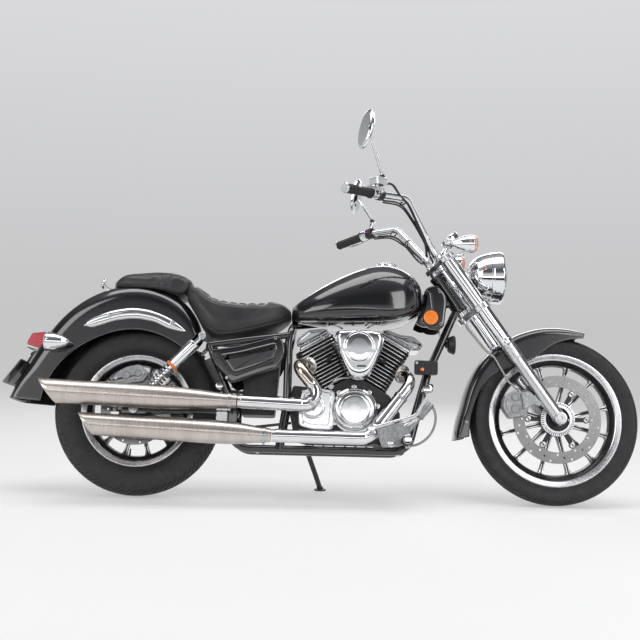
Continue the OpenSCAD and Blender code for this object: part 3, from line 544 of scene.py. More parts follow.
YELLOW_P = surface("yellow_paint_dot", (0.85, 0.60, 0.10), 0.5, var=0.2, scale=80, bump=0.1, bump_scale=2000)
ORANGE_M = surface("orange_spring_ring", (0.80, 0.17, 0.01), 0.35, var=0.15, scale=60, bump=0.08, bump_scale=1500, coat=0.3)
LABEL = surface("pale_blank_label", (0.62, 0.62, 0.62), 0.4, 0.2, var=0.12, scale=60, bump=0.08, bump_scale=1500)
SPRING = surface("spring_steel", (0.42, 0.42, 0.44), 0.24, 1.0, var=0.12, rvar=0.08, scale=70, bump=0.05, bump_scale=900)
PAD = surface("brake_pad", (0.05, 0.045, 0.04), 0.8, var=0.3, scale=200, bump=0.5, bump_scale=1800)
INNER = surface("exhaust_soot", (0.02, 0.019, 0.018), 0.85, var=0.4, scale=60, bump=0.4, bump_scale=900)


def lens_material(name, col, rough=0.08, trans=0.55, painted_glow=0.0, ribs=0.0, rib_scale=260.0, axis=0):
    m, nt, bs = _nodes(name)
    tc = nt.nodes.new("ShaderNodeTexCoord")
    co = tc.outputs["Object"]
    c = _mix(nt, _range(nt, _noise(nt, co, 55, 4, 0.6), 0.0, 1.0), tuple(x * 0.82 for x in col), col)
    nt.links.new(c, bs.inputs["Base Color"])
    nt.links.new(_range(nt, _noise(nt, co, 80, 4, 0.6), max(0, rough - 0.04), rough + 0.05), bs.inputs["Roughness"])
    bs.inputs["Transmission Weight"].default_value = trans
    bs.inputs["IOR"].default_value = 1.49
    bs.inputs["Coat Weight"].default_value = 1.0
    bs.inputs["Coat Roughness"].default_value = 0.02
    # painted light: a faint glow in the lens colour, given to the reflectors as well as the lamp lenses
    if painted_glow:
        nt.links.new(c, bs.inputs["Emission Color"])
        bs.inputs["Emission Strength"].default_value = painted_glow
    if ribs:
        w = nt.nodes.new("ShaderNodeTexWave")
        w.bands_direction = ("X", "Y", "Z")[axis]
        w.inputs["Scale"].default_value = rib_scale
        w.inputs["Distortion"].default_value = 0.0
        nt.links.new(co, w.inputs["Vector"])
        _bump(nt, bs, w.outputs["Fac"], ribs, 0.0006)
    return m


# the fifth value of each lens is the strength of its painted glow
RED = lens_material("red_lens", (0.62, 0.006, 0.035), 0.10, 0.25, 0.10, 0.5, 50.0, 2)
AMBER = lens_material("amber_reflector", (0.95, 0.22, 0.008), 0.14, 0.15, 0.22, 0.7, 90.0, 2)
AMBER_DIM = lens_material("amber_lens", (0.80, 0.42, 0.30), 0.12, 0.35, 0.04, 0.5, 70.0, 2)
CLEAR = lens_material("clear_lens", (0.93, 0.94, 0.95), 0.04, 0.92, 0.0, 0.25, 55.0, 1)
MILKY = lens_material("milky_lens", (0.85, 0.80, 0.78), 0.15, 0.35, 0.05, 0.5, 70.0, 2)
MIRROR = surface("mirror_glass", (0.90, 0.92, 0.93), 0.015, 1.0, var=0.01, rvar=0.008, scale=5, bump=0.0)


def stainless_material():
    """Warm brushed stainless: fine rings round the tube, soft rolling tone along it."""
    m, nt, bs = _nodes("brushed_stainless")
    tc = nt.nodes.new("ShaderNodeTexCoord")
    co = tc.outputs["Object"]
    br = _noise(nt, co, 40, 3, 0.7, ((34.0, 0.5, 0.5), (0, -0.03, 0)))
    mid = _noise(nt, co, 9, 4, 0.6, ((3.0, 0.6, 0.6), (0, 0, 0)))
    c = _mix(nt, _range(nt, mid, 0.0, 1.0), (0.56, 0.50, 0.455), (0.70, 0.655, 0.62))
    c = _mix(nt, _range(nt, br, 0.0, 0.35), c, (0.40, 0.355, 0.33))
    c, _ = _worn(nt, co, c, (0.86, 0.83, 0.80), 0.6)
    nt.links.new(c, bs.inputs["Base Color"])
    r = _range(nt, br, 0.22, 0.40)
    nt.links.new(r, bs.inputs["Roughness"])
    bs.inputs["Metallic"].default_value = 1.0
    bs.inputs["Anisotropic"].default_value = 0.35
    _bump(nt, bs, br, 0.12, 0.0003)
    return m


def pipe_material():
    """Chrome pipe with a faint heat tint near the cylinder heads."""
    m, nt, bs = _nodes("exhaust_chrome")
    tc = nt.nodes.new("ShaderNodeTexCoord")
    co = tc.outputs["Object"]
    big = _noise(nt, co, 14, 5, 0.6)
    c = _mix(nt, _range(nt, big, 0, 1), (0.74, 0.74, 0.76), (0.84, 0.84, 0.85))
    s = nt.nodes.new("ShaderNodeSeparateXYZ")
    nt.links.new(co, s.inputs[0])
    h = _math(nt, "MULTIPLY", _range(nt, s.outputs[2], 0.0, 1.0, 0.405, 0.485), _range(nt, big, 0.5, 1.0))
    c = _mix(nt, h, c, (0.60, 0.47, 0.33))
    nt.links.new(c, bs.inputs["Base Color"])
    nt.links.new(_range(nt, _noise(nt, co, 30, 5, 0.65), 0.04, 0.10), bs.inputs["Roughness"])
    bs.inputs["Metallic"].default_value = 1.0
    _bump(nt, bs, _noise(nt, co, 90, 3), 0.02, 0.0002)
    return m


def leather_material(name, col=(0.0115, 0.0115, 0.013)):
    """Black vinyl hide: pebble grain from cells with painted shade in the crevices between them, creases, a little
    sheen and rubbed crowns.
    """
    m, nt, bs = _nodes(name)
    tc = nt.nodes.new("ShaderNodeTexCoord")
    co = tc.outputs["Object"]
    vo = nt.nodes.new("ShaderNodeTexVoronoi")
    vo.feature = "DISTANCE_TO_EDGE"
    vo.inputs["Scale"].default_value = 520
    nt.links.new(co, vo.inputs["Vector"])
    v2 = nt.nodes.new("ShaderNodeTexVoronoi")
    v2.inputs["Scale"].default_value = 900
    nt.links.new(co, v2.inputs["Vector"])
    big = _noise(nt, co, 16, 5, 0.6)
    c = _mix(nt, _range(nt, big, 0, 1), col, tuple(x * 1.9 for x in col))
    # painted shade: darker colour in the crevices between the grain's pebbles
    c = _mix(nt, _range(nt, vo.outputs["Distance"], 0.35, 0.0, 0.0, 0.12), c, tuple(x * 0.35 for x in col))
    c, _ = _worn(nt, co, c, (0.075, 0.074, 0.073), 0.35, 0.50, 0.60)
    nt.links.new(c, bs.inputs["Base Color"])
    nt.links.new(_range(nt, _noise(nt, co, 38, 6, 0.7), 0.30, 0.47), bs.inputs["Roughness"])
    bs.inputs["Sheen Weight"].default_value = 0.12
    bs.inputs["Sheen Roughness"].default_value = 0.4
    bs.inputs["Specular IOR Level"].default_value = 0.55
    b1 = _bump(nt, bs, _range(nt, vo.outputs["Distance"], 0, 1, 0, 0.25), 0.30, 0.00035)
    b2 = _bump(nt, bs, v2.outputs["Distance"], 0.12, 0.0002, b1)
    _bump(nt, bs, _noise(nt, co, 28, 6, 0.7), 0.10, 0.0025, b2)
    return m


def tyre_material():
    """Tyre rubber: matt tread, lighter on convex edges, dust in the grooves."""
    m, nt, bs = _nodes("tyre_rubber")
    tc = nt.nodes.new("ShaderNodeTexCoord")
    co = tc.outputs["Object"]
    c = _mix(nt, _range(nt, _noise(nt, co, 24, 6, 0.7), 0, 1), (0.0105, 0.0105, 0.0115), (0.024, 0.024, 0.026))
    g = nt.nodes.new("ShaderNodeNewGeometry")
    pit = _range(nt, g.outputs["Pointiness"], 0.55, 0.0, 0.40, 0.50)
    c = _mix(nt, pit, c, (0.05, 0.048, 0.045))
    c = _mix(nt, _math(nt, "MULTIPLY", _range(nt, g.outputs["Pointiness"], 0.0, 1.0, 0.53, 0.62), 0.5), c, (0.055, 0.054, 0.053))
    c = _mix(nt, _range(nt, _noise(nt, co, 130, 6, 0.75), 0.0, 0.30, 0.5, 0.75), c, (0.06, 0.057, 0.053))
    nt.links.new(c, bs.inputs["Base Color"])
    nt.links.new(_range(nt, _noise(nt, co, 60, 5, 0.65), 0.50, 0.72), bs.inputs["Roughness"])
    b1 = _bump(nt, bs, _noise(nt, co, 1500, 3), 0.25, 0.0002)
    _bump(nt, bs, _noise(nt, co, 150, 4), 0.12, 0.0006, b1)
    return m


def braid_material():
    """Woven steel hose cover from crossed waves."""
    m, nt, bs = _nodes("braided_hose")
    tc = nt.nodes.new("ShaderNodeTexCoord")
    co = tc.outputs["Object"]
    hs = []
    for ang in (0.8, -0.8):
        mp = nt.nodes.new("ShaderNodeMapping")
        mp.inputs["Rotation"].default_value = (0.3, ang, 0)
        nt.links.new(co, mp.inputs["Vector"])
        w = nt.nodes.new("ShaderNodeTexWave")
        w.inputs["Scale"].default_value = 180
        w.inputs["Distortion"].default_value = 0.5
        nt.links.new(mp.outputs[0], w.inputs["Vector"])
        hs.append(w.outputs["Fac"])
    h = _math(nt, "MAXIMUM", hs[0], hs[1])
    nt.links.new(_mix(nt, h, (0.10, 0.095, 0.09), (0.50, 0.48, 0.45)), bs.inputs["Base Color"])
    nt.links.new(_range(nt, h, 0.5, 0.28, 0, 1), bs.inputs["Roughness"])
    bs.inputs["Metallic"].default_value = 0.85
    _bump(nt, bs, h, 0.6, 0.0006)
    return m


def disc_material(name, centre, split, ring=(0.30, 0.295, 0.295), hub=(0.010, 0.010, 0.011)):
    """Brake disc: turned steel ring outside the split radius, black carrier inside."""
    m, nt, bs = _nodes(name)
    tc = nt.nodes.new("ShaderNodeTexCoord")
    co = tc.outputs["Object"]
    c0 = W(centre)[0]
    ax = W(V(*centre) + V(0, 1000, 0))[0] - c0
    sub = nt.nodes.new("ShaderNodeVectorMath"); sub.operation = "SUBTRACT"
    nt.links.new(co, sub.inputs[0]); sub.inputs[1].default_value = tuple(c0)
    cr = nt.nodes.new("ShaderNodeVectorMath"); cr.operation = "CROSS_PRODUCT"
    nt.links.new(sub.outputs[0], cr.inputs[0]); cr.inputs[1].default_value = tuple(ax)
    ln = nt.nodes.new("ShaderNodeVectorMath"); ln.operation = "LENGTH"
    nt.links.new(cr.outputs[0], ln.inputs[0])
    r = ln.outputs["Value"]
    out = _range(nt, r, 0.0, 1.0, split / 1000 - 0.0004, split / 1000 + 0.0004)
    n1 = nt.nodes.new("ShaderNodeTexNoise"); n1.noise_dimensions = "1D"
    n1.inputs["Scale"].default_value = 2600; n1.inputs["Detail"].default_value = 4
    nt.links.new(r, n1.inputs["W"])
    lines = n1.outputs["Fac"]
    drift = _range(nt, _noise(nt, co, 26, 5, 0.6), 0, 1)
    rc = _mix(nt, drift, tuple(x * 0.82 for x in ring), ring)
    rc = _mix(nt, _range(nt, lines, 0, 0.4), rc, tuple(x * 0.6 for x in ring))
    c = _mix(nt, out, hub, rc)
    nt.links.new(c, bs.inputs["Base Color"])
    nt.links.new(_mix_val(nt, out, 0.42, _range(nt, lines, 0.22, 0.40)), bs.inputs["Roughness"])
    nt.links.new(out, bs.inputs["Metallic"])
    _bump(nt, bs, lines, 0.05, 0.0002)
    return m


def _mix_val(nt, fac, a, b):
    x = nt.nodes.new("ShaderNodeMix")
    x.data_type = "FLOAT"
    for sock, val in ((x.inputs[2], a), (x.inputs[3], b)):
        if isinstance(val, (int, float)):
            sock.default_value = val
        else:
            nt.links.new(val, sock)
    nt.links.new(fac, x.inputs[0])
    return x.outputs[0]


STAINLESS = stainless_material()
PIPE = pipe_material()
LEATHER = leather_material("black_seat_hide")
LEATHER_STRAP = leather_material("strap_hide", (0.014, 0.014, 0.016))
THREAD = surface("seat_thread", (0.045, 0.045, 0.047), 0.7, var=0.3, scale=300, bump=0.5, bump_scale=4000, dist=0.0002, sheen=0.3)
TYRE = tyre_material()
BRAID = braid_material()
DISC_F = disc_material("front_disc_steel", (WB, -62, ZF), 117)
DISC_R = disc_material("rear_disc_steel", (0, -72, ZR), 91)

# ------------------------------------------------------------------ stage, light and camera
def stage_material(name, col, rough):
    m, nt, bs = _nodes(name)
    tc = nt.nodes.new("ShaderNodeTexCoord")
    n = _noise(nt, tc.outputs["Object"], 3, 4)
    nt.links.new(_mix(nt, _range(nt, n, 0, 1), tuple(c * 0.99 for c in col), col), bs.inputs["Base Color"])
    bs.inputs["Roughness"].default_value = rough
    bs.inputs["Specular IOR Level"].default_value = 0.2
    return m


def plain(name, pts, mat):
    me = bpy.data.meshes.new(name)
    me.from_pydata(pts, [], [(0, 1, 2, 3)])
    me.materials.append(mat)
    ob = bpy.data.objects.new(name, me)
    scene.collection.objects.link(ob)
    return ob


FLOOR = stage_material("studio_floor", (0.56, 0.56, 0.565), 0.85)
_fb = FLOOR.node_tree.nodes["Principled BSDF"]
_fb.inputs["Emission Color"].default_value = (1, 1, 1, 1)
_fb.inputs["Emission Strength"].default_value = 0.37
me = bpy.data.meshes.new("floor")
r_ = 60.0
me.from_pydata([(r_ * math.cos(2 * math.pi * k / 64), r_ * math.sin(2 * math.pi * k / 64), -0.0005) for k in range(64)], [], [tuple(range(64))])
me.materials.append(FLOOR)
floor = bpy.data.objects.new("floor", me)
scene.collection.objects.link(floor)

world = bpy.data.worlds.new("studio")
scene.world = world
world.use_nodes = True
wn = world.node_tree
wn.nodes.clear()
wo = wn.nodes.new("ShaderNodeOutputWorld")
bg = wn.nodes.new("ShaderNodeBackground")
tcw = wn.nodes.new("ShaderNodeTexCoord")
sw = wn.nodes.new("ShaderNodeSeparateXYZ")
wn.links.new(tcw.outputs["Generated"], sw.inputs[0])
rp = wn.nodes.new("ShaderNodeValToRGB")
rp.color_ramp.elements[0].position = 0.0
rp.color_ramp.elements[0].color = (0.56, 0.56, 0.565, 1)
rp.color_ramp.elements[1].position = 1.0
rp.color_ramp.elements[1].color = (0.55, 0.555, 0.57, 1)
for q_, c_ in ((0.10, 0.60), (0.30, 0.70), (0.34, 0.40), (0.39, 0.20), (0.48, 0.10), (0.60, 0.09), (0.76, 0.26)):
    e = rp.color_ramp.elements.new(q_); e.color = (c_, c_ * 1.003, c_ * 1.02, 1)
wn.links.new(sw.outputs[2], rp.inputs[0])
wn.links.new(rp.outputs[0], bg.inputs[0])
bg.inputs[1].default_value = 1.0
wn.links.new(bg.outputs[0], wo.inputs[0])


def area(name, loc, target, sx, sy, power, col=(1, 1, 1)):
    l = bpy.data.lights.new(name, "AREA")
    l.shape = "RECTANGLE"
    l.size, l.size_y = sx, sy
    l.energy = power
    l.color = col
    o = bpy.data.objects.new(name, l)
    scene.collection.objects.link(o)
    o.location = loc
    o.rotation_euler = (Vector(target) - Vector(loc)).to_track_quat("-Z", "Y").to_euler()
    return o


area("softbox_top", (0.0, -0.3, 3.4), (0, 0, 0.4), 4.2, 1.5, 62)
area("softbox_front", (2.4, -2.9, 2.3), (0.2, 0, 0.5), 1.6, 2.2, 40)
area("softbox_back_left", (-2.6, -2.7, 2.1), (-0.2, 0, 0.5), 1.6, 2.0, 30)
area("softbox_low", (0.0, -4.2, 1.1), (0, 0, 0.45), 4.5, 0.5, 12)
area("rim", (0.6, 3.4, 2.6), (0, 0, 0.6), 3.5, 1.2, 45)

# dark cards, seen only in reflections
FLAG = stage_material("dark_card", (0.012, 0.012, 0.014), 0.9)
for i, pts in enumerate((
    [(-3.4, -4.6, 0.10), (3.4, -4.6, 0.10), (3.4, -4.6, 0.80), (-3.4, -4.6, 0.80)],
    [(4.6, -1.6, 0.1), (4.6, 1.8, 0.1), (4.6, 1.8, 1.5), (4.6, -1.6, 1.5)],
)):
    card = plain(f"dark_card_{i}", pts, FLAG)
    card.visible_camera = False
    card.visible_shadow = False
    card.visible_diffuse = False

# the camera that the photograph was taken from, fitted to the wheels, bars and mufflers
eps, psi, roll, dist = math.radians(10.17), math.radians(0.3), math.radians(1.44), 3832.0
d_ = V(-math.sin(psi) * math.cos(eps), -math.cos(psi) * math.cos(eps), -math.sin(eps))
tgt = V(659, 0, 668)
C_ = tgt + V(-d_[0], -d_[1], -d_[2]) * 0 + d_ * dist
C_ = tgt + dist * d_
fwd_ = -d_
r_v = unit(np.cross(fwd_, V(0, -math.sin(eps), math.cos(eps))))
u_v = np.cross(r_v, fwd_)
rr = r_v * math.cos(roll) + u_v * math.sin(roll)
uu = -r_v * math.sin(roll) + u_v * math.cos(roll)


def Wd(v):
    return (W(v)[0] - W((0, 0, 0))[0]) * 1000


cam = bpy.data.cameras.new("camera")
cam.sensor_width = 36
cam.lens = 1020 * 36 / 640
cam.clip_end = 200
camo = bpy.data.objects.new("camera", cam)
scene.collection.objects.link(camo)
mw = Matrix.Identity(4)
for k, vec in enumerate((Wd(rr), Wd(uu), -Wd(fwd_))):
    for i in range(3):
        mw[i][k] = float(vec[i])
cw = W(C_)[0]
for i in range(3):
    mw[i][3] = float(cw[i])
camo.matrix_world = mw
scene.camera = camo
scene.view_settings.view_transform = "Standard"
scene.view_settings.exposure = 0.0

# ------------------------------------------------------------------ wheels
def tyre(name, body, cx, cz, r, w, crown, rim, pitches, node, dot=None):
    """Tyre as a lathe whose grid follows the tread grooves."""
    half = [(rim - 13, 0.60 * w), (rim - 3, 0.665 * w), (rim + 4, 0.75 * w), (rim + 7, 0.785 * w), (rim + 8.2, 0.775 * w), (rim + 9.6, 0.80 * w), (rim + 18, 0.90 * w), (rim + 30, 0.975 * w),
            (rim + 0.56 * (r - rim), 1.0 * w), (r - 0.36 * (r - rim), 0.985 * w), (r - 0.29 * (r - rim), 0.965 * w), (r - 0.285 * (r - rim), 0.945 * w), (r - 0.25 * (r - rim), 0.93 * w)]
    # crown from the edge (a = +a0) to the other
    a0 = 44.0
    rows = 29
    prof = [(p, q, 0.0, 0) for p, q in half]
    e = (r - crown + crown * math.cos(math.radians(a0)), crown * math.sin(math.radians(a0)))
    for k in range(rows):
        t = a0 - 2 * a0 * k / (rows - 1)
        ta = math.radians(t)
        rr_, y_ = r - crown + crown * math.cos(ta), crown * math.sin(ta)
        sy = min(1.0, 0.93 * w / abs(crown * math.sin(math.radians(a0))))
        prof.append((rr_, y_ * sy, t / a0, 1))
    prof += [(p, -q, 0.0, 0) for p, q in reversed(half)]
    # columns: groove edges in each pitch
    cols = []
    cuts = [0.0, 0.10, 0.13, 0.26, 0.29, 0.42, 0.56, 0.59, 0.70, 0.73, 0.86]
    deep = [0, 0, 1, 1, 0, 0, 0, 2, 2, 0, 0]
    for k in range(pitches):
        for c, dd in zip(cuts, deep):
            cols.append((2 * math.pi * (k + c) / pitches, dd))
    n = len(cols)
    m = len(prof)
    pitch = 2 * math.pi / pitches
    v = np.zeros((m, n, 3))
    for i, (pr, py, s, tr) in enumerate(prof):
        for j, (th, dd) in enumerate(cols):
            rad = pr
            t = th
            if tr:
                a = abs(s)
                t = th + pitch * (1.15 * a ** 1.3 + (0.5 if s < 0 else 0.0))
                dep = 0.0
                if dd == 1 and 0.20 < a < 0.93:
                    dep = 4.6
                if dd == 2 and 0.42 < a < 1.01:
                    dep = 4.2
                if 0.055 < a < 0.075 or 0.0 < a < 0.0:
                    dep = max(dep, 0)
                rad -= dep
            else:
                a = 1.0
                t = th + pitch * (1.15 + (0.5 if py < 0 else 0.0))
            v[i, j] = (rad * math.cos(t), py, rad * math.sin(t))
    # two rain grooves round the crown
    for i, (pr, py, s, tr) in enumerate(prof):
        if tr and 0.12 < abs(s) < 0.18:
            v[i, :, 0] *= (pr - 5.0) / pr
            v[i, :, 2] *= (pr - 5.0) / pr
    # inner skin profile, which is not used
    ins = [(rim + 6, -0.60 * w), (rim + 32, -0.80 * w), (r - 26, -0.74 * w), (r - 17, -0.3 * w), (r - 16, 0.0), (r - 17, 0.3 * w), (r - 26, 0.74 * w), (rim + 32, 0.80 * w), (rim + 6, 0.60 * w)]
    q = 96
    fs = []
    for i in range(m - 1):
        for j in range(n):
            l = (j + 1) % n
            fs.append((i * n + j, i * n + l, (i + 1) * n + l, (i + 1) * n + j))
    a = Acc()
    vv = v.reshape(-1, 3) + V(cx, 0, cz)
    a.add((vv, fs))
    o = a.make(name, body, TYRE, angle=24, replaces=[node], slot="tyre")
    return o


def ring_lathe(cx, cz, prof, n=160, rr_=0.8):
    return lathe((cx, 0, cz), (0, 1, 0), prof, n, rr_)


def wheel(name, body, cx, cz, rim, w, inner, first, node, hub=50):
    """Cast wheel: lipped rim with turned edges, twelve grooved spokes, hub."""
    a = Acc()
    # rim section, closed loop, as [r, y]
    sec = [(inner - 7, 0), (inner - 2, -0.36 * w), (rim - 24, -0.62 * w), (rim - 19, -0.685 * w), (rim - 3.5, -0.735 * w), (rim, -0.725 * w), (rim + 0.5, -0.67 * w), (rim - 3, -0.655 * w),
           (rim - 15, -0.60 * w), (inner + 13, -0.34 * w), (inner + 1, -0.28 * w), (inner + 3, 0)]
    full = sec + [(p, -q) for p, q in reversed(sec[1:-1])]
    P = soft_poly(full, 2.2, 3)
    n = 180
    if poly_area(P) < 0:
        P = P[::-1]
    m = len(P)
    v = np.zeros((n, m, 3))
    for i in range(n):
        t = 2 * math.pi * i / n
        v[i, :, 0], v[i, :, 1], v[i, :, 2] = P[:, 0] * math.cos(t), P[:, 1], P[:, 0] * math.sin(t)
    fs, ms = [], []
    for i in range(n):
        j = (i + 1) % n
        for k in range(m):
            l = (k + 1) % m
            fs.append((i * m + k, i * m + l, j * m + l, j * m + k))
            rad, yy = (P[k, 0] + P[l, 0]) / 2, abs(P[k, 1] + P[l, 1]) / 2
            lip = rad > rim - 23.5 and yy > 0.585 * w
            dark_line = rim - 17.0 < rad < rim - 14.0
            ms.append(1 if lip and not dark_line else 0)
    a.add((v.reshape(-1, 3) + V(cx, 0, cz), fs, ms))
    # spokes
    r0, r1 = 36.0, inner - 4.0
    st = [(r0, 12.5, 19.0), (48, 10.5, 16), (66, 8.4, 13.5), (100, 7.2, 12.5), (inner - 40, 6.6, 12), (inner - 20, 7.4, 12.5), (inner - 9, 10.0, 13.5), (r1, 15.0, 15.5)]
    for k in range(12):
        t = math.radians(first + 30 * k)
        er, et = V(math.cos(t), 0, math.sin(t)), V(-math.sin(t), 0, math.cos(t))
        rings = []
        grooved = []
        for r_i, hw, hy in st:
            g = 2.6 if 60 < r_i < inner - 15 else 0.01
            gw = min(2.2, hw * 0.3)
            sec2 = []
            for sy in (-1, 1):
                xs = [-hw, -hw + 1.6, -gw - 0.9, -gw, gw, gw + 0.9, hw - 1.6, hw]
                ys = [hy - 3.0, hy, hy, hy - g, hy - g, hy, hy, hy - 3.0]
                pts = list(zip(xs, [y * sy for y in ys]))
                if sy > 0:
                    pts = pts[::-1]
                sec2 += pts
            rings.append([er * r_i + et * x + V(0, 1, 0) * y for x, y in sec2])
        vv, ff = loft(rings)
        mi = []
        ns = 16
        for i in range(len(st) - 1):
            for q in range(ns):
                h = q % 8
                side = 0 if q < 8 else 8
                mi.append(1 if h in (1, 2, 4, 5) and st[i][0] > 44 and q not in (7, 15) and h != 3 else 0)
        mi += [0, 0]
        a.add((vv + V(cx, 0, cz), ff, mi))
    # hub
    a.add(ring_lathe(cx, cz, [(10.2, -hub), (28, -hub), (32, -hub + 4), (33, -26), (46, -22), (49, -18), (49, 18), (46, 22), (33, 26), (32, hub - 4), (28, hub), (10.2, hub)], 72, 1.2), 0)
    a.add(ring_lathe(cx, cz, [(27.5, hub - 0.2), (28, hub + 0.3), (19, hub + 0.3), (18, hub - 0.5)], 64, 0.2), 1)
    o = a.make(name, body, [BLACK_WHEEL, MACHINED], angle=28, replaces=[node], slot="wheel_paint")
    return o


BLACK_WHEEL = surface("wheel_black_paint", (0.010, 0.010, 0.011), 0.30, var=0.25, rvar=0.06, scale=30, bump=0.05, bump_scale=1400, dist=0.0001, coat=0.5, coat_rough=0.12, wear=0.2, worn=(0.08, 0.08, 0.08), dust=0.06)
tyre("tyre_front", "front_wheel", WB, ZF, 310.0, 50.0, 60.0, 244.0, 46, "front_tyre")
tyre("tyre_rear", "rear_wheel", 0, ZR, 307.5, 65.0, 75.0, 204.5, 42, "rear_tyre")
wheel("wheel_front", "front_wheel", WB, ZF, 244.0, 50.0, 206.0, 15, "front_rim")
wheel("wheel_rear", "rear_wheel", 0, ZR, 204.5, 65.0, 170.0, 15, "rear_rim")


def polar3(cx, cz, y, r, deg):
    return V(cx + r * math.cos(math.radians(deg)), y, cz + r * math.sin(math.radians(deg)))


# front disc hardware: bobbins, bolts, slotted sensor ring
a = Acc()
for k in range(6):
    p = polar3(WB, ZF, -64.8, 106, 60 * k)
    a.add(lathe(p, (0, -1, 0), [(0, 0), (10, 0), (10, 1.6), (6.5, 2.4), (6.5, 1.4), (3, 1.4), (3, 0.4), (0, 0.4)], 28, 0.3), 1)
for k in range(6):
    a.add(capbolt(polar3(WB, ZF, -70.2, 53, 30 + 60 * k), (0, -1, 0), 5.2, 4), 1)
n = 48
for k in range(n):
    t0, t1 = 360 * k / n, 360 * (k + 0.55) / n
    ring = []
    for y in (-74.2, -72.0):
        ring.append([polar3(WB, ZF, y, r, t) for r, t in ((52, t0), (60, t0), (60, t1), (52, t1))])
    a.add(loft(ring), 2)
a.add(ring_lathe(WB, ZF, [(44, -74.2), (52.3, -74.2), (52.3, -72.0), (44, -72.0)][::-1], 96, 0.3), 2)
a.add(ring_lathe(WB, ZF, [(59.7, -74.2), (62, -74.2), (62, -72.0), (59.7, -72.0)][::-1], 96, 0.3), 2)
a.make("disc_hardware_front", "front_wheel", [STEEL, STEEL, MACHINED], angle=30)
a = Acc()
for k in range(6):
    a.add(hexbolt(polar3(0, ZR, -74.8, 76, 60 * k), (0, -1, 0), 5.5, 5), 0)
a.make("disc_hardware_rear", "rear_wheel", [STEEL], angle=30)
# valves and the painted balance dot on the rear sidewall
a = Acc()
a.add(rod(polar3(WB, ZF, -16, 212, 75), polar3(WB, ZF, -22, 178, 75), 3.4, 2.8, 16), 0)
a.make("valve_front", "front_wheel", [RUBBER], angle=30)
a = Acc()
a.add(rod(polar3(0, ZR, -16, 172, 262), polar3(0, ZR, -24, 140, 262), 3.6, 2.8, 16), 0)
a.make("valve_rear", "rear_wheel", [RUBBER], angle=30)
c0 = V(-105, 0, 52)
rd, dg = 276.5, math.degrees(math.atan2(58 - ZR, -104))
a = Acc()
p0, p1 = polar3(0, ZR, -61.6, 268, dg), polar3(0, ZR, -58.7, 277, dg)
mid_ = (p0 + p1) / 2
slope = unit(p1 - p0)
nrm = unit(np.cross(slope, V(math.sin(math.radians(dg)), 0, -math.cos(math.radians(dg)))))
if nrm[1] > 0:
    nrm = -nrm
a.add(lathe(mid_ - nrm * 2.2, nrm, [(2.2, 0), (5.2, 0), (5.2, 2.9), (2.2, 2.9)], 24, 0.3), 0)
a.make("tyre_dot", "rear_wheel", [YELLOW_P], angle=30)

# sprocket teeth and bolts
a = Acc()
teeth = 38
ring0 = []
for k in range(teeth):
    for f_, r_ in ((0.0, 88.0), (0.22, 88.5), (0.40, 96.5), (0.60, 96.5), (0.78, 88.5)):
        ring0.append(polar3(0, ZR, 0, r_, 360 * (k + f_) / teeth))
ring0 = np.array(ring0)
rin = np.array([polar3(0, ZR, 0, 62, 360 * k / len(ring0)) for k in range(len(ring0))])
rings = [ring0 + V(0, 77.5, 0), ring0 + V(0, 82.5, 0), rin + V(0, 82.5, 0), rin + V(0, 77.5, 0), ring0 + V(0, 77.5, 0)]
a.add(loft(rings, False, False), 0)
for k in range(5):
    a.add(hexbolt(polar3(0, ZR, 84, 50, 72 * k + 36), (0, 1, 0), 6, 6), 0)
a.make("sprocket_teeth", "rear_wheel", [STEEL], angle=30)

# ------------------------------------------------------------------ bodywork
def sp(v, e):
    return math.copysign(abs(v) ** e, v)


def oval(x, top, mid, bot, w, e1, e2, n=96):
    out = []
    for k in range(n):
        t = 2 * math.pi * k / n
        c, s = math.cos(t), math.sin(t)
        e = e1 if s >= 0 else e2
        out.append((x, w * sp(c, e), mid + ((top - mid) * sp(s, e) if s >= 0 else (mid - bot) * sp(s, e))))
    return out


TANK = [[556, 712, 668, 646, 44], [576, 728, 676, 643, 78], [620, 760, 682, 640, 104], [680, 800, 686, 638, 126], [740, 832, 688, 637, 140],
        [800, 858, 690, 638, 148], [860, 876, 690, 641, 150], [910, 878, 692, 647, 147], [960, 866, 700, 656, 136], [1000, 843, 714, 674, 115], [1026, 814, 730, 697, 86], [1040, 784, 745, 722, 48]]
st = spline(TANK, 5)


def tank_ring(s, k=1.0, dx=0.0):
    x, top, mid, bot, w = s
    c = (top + bot) / 2
    ring = np.array(oval(x + dx, c + (top - c) * k, c + (mid - c) * k, c + (bot - c) * k, w * k, 0.84, 0.62))
    # soft character line that runs back along the flank
    f = math.exp(-((x - 760) / 170.0) ** 2)
    z = ring[:, 2]
    line = mid + 6 - 14 * ((x - 760) / 150.0) ** 2 * 0.3
    d = (z - line)
    ring[:, 1] += np.sign(ring[:, 1]) * f * k * (3.6 * np.exp(-(d / 9.0) ** 2) - 2.6 * np.exp(-((d + 24) / 16.0) ** 2))
    return ring


rings = []
for k in (0.55, 0.8, 0.92, 0.98):
    rings.append(tank_ring(st[0], k, -3.0 * math.sqrt(max(0, 1 - k * k)) - 0.0))
rings += [tank_ring(s) for s in st]
for k in (0.96, 0.86, 0.70, 0.45, 0.2):
    rings.append(tank_ring(st[-1], k, 5.0 * math.sqrt(max(0, 1 - k * k))))
a = Acc()
vv, ff = loft(rings)
a.add((vv, [tuple(reversed(q)) for q in ff]))
tank = a.make("tank", "frame", GLOSS, angle=60, replaces=["fuel_tank"], slot="gloss_paint")
# weld flange under the tank
a = Acc()
for sgn in (1, -1):
    path, up = [], []
    for s in st[2:-4]:
        r_ = tank_ring(s)
        k = 96 - 13
        p = r_[k].copy()
        p[1] *= sgn
        path.append(p)
    a.add(sweep(path, 1.0, prof=[(2.2, -5.5), (2.6, 0), (2.2, 5.5), (-2.2, 5.5), (-2.6, 0), (-2.2, -5.5)]))
a.make("tank_flange", "frame", GLOSS, angle=40, slot="gloss_paint")
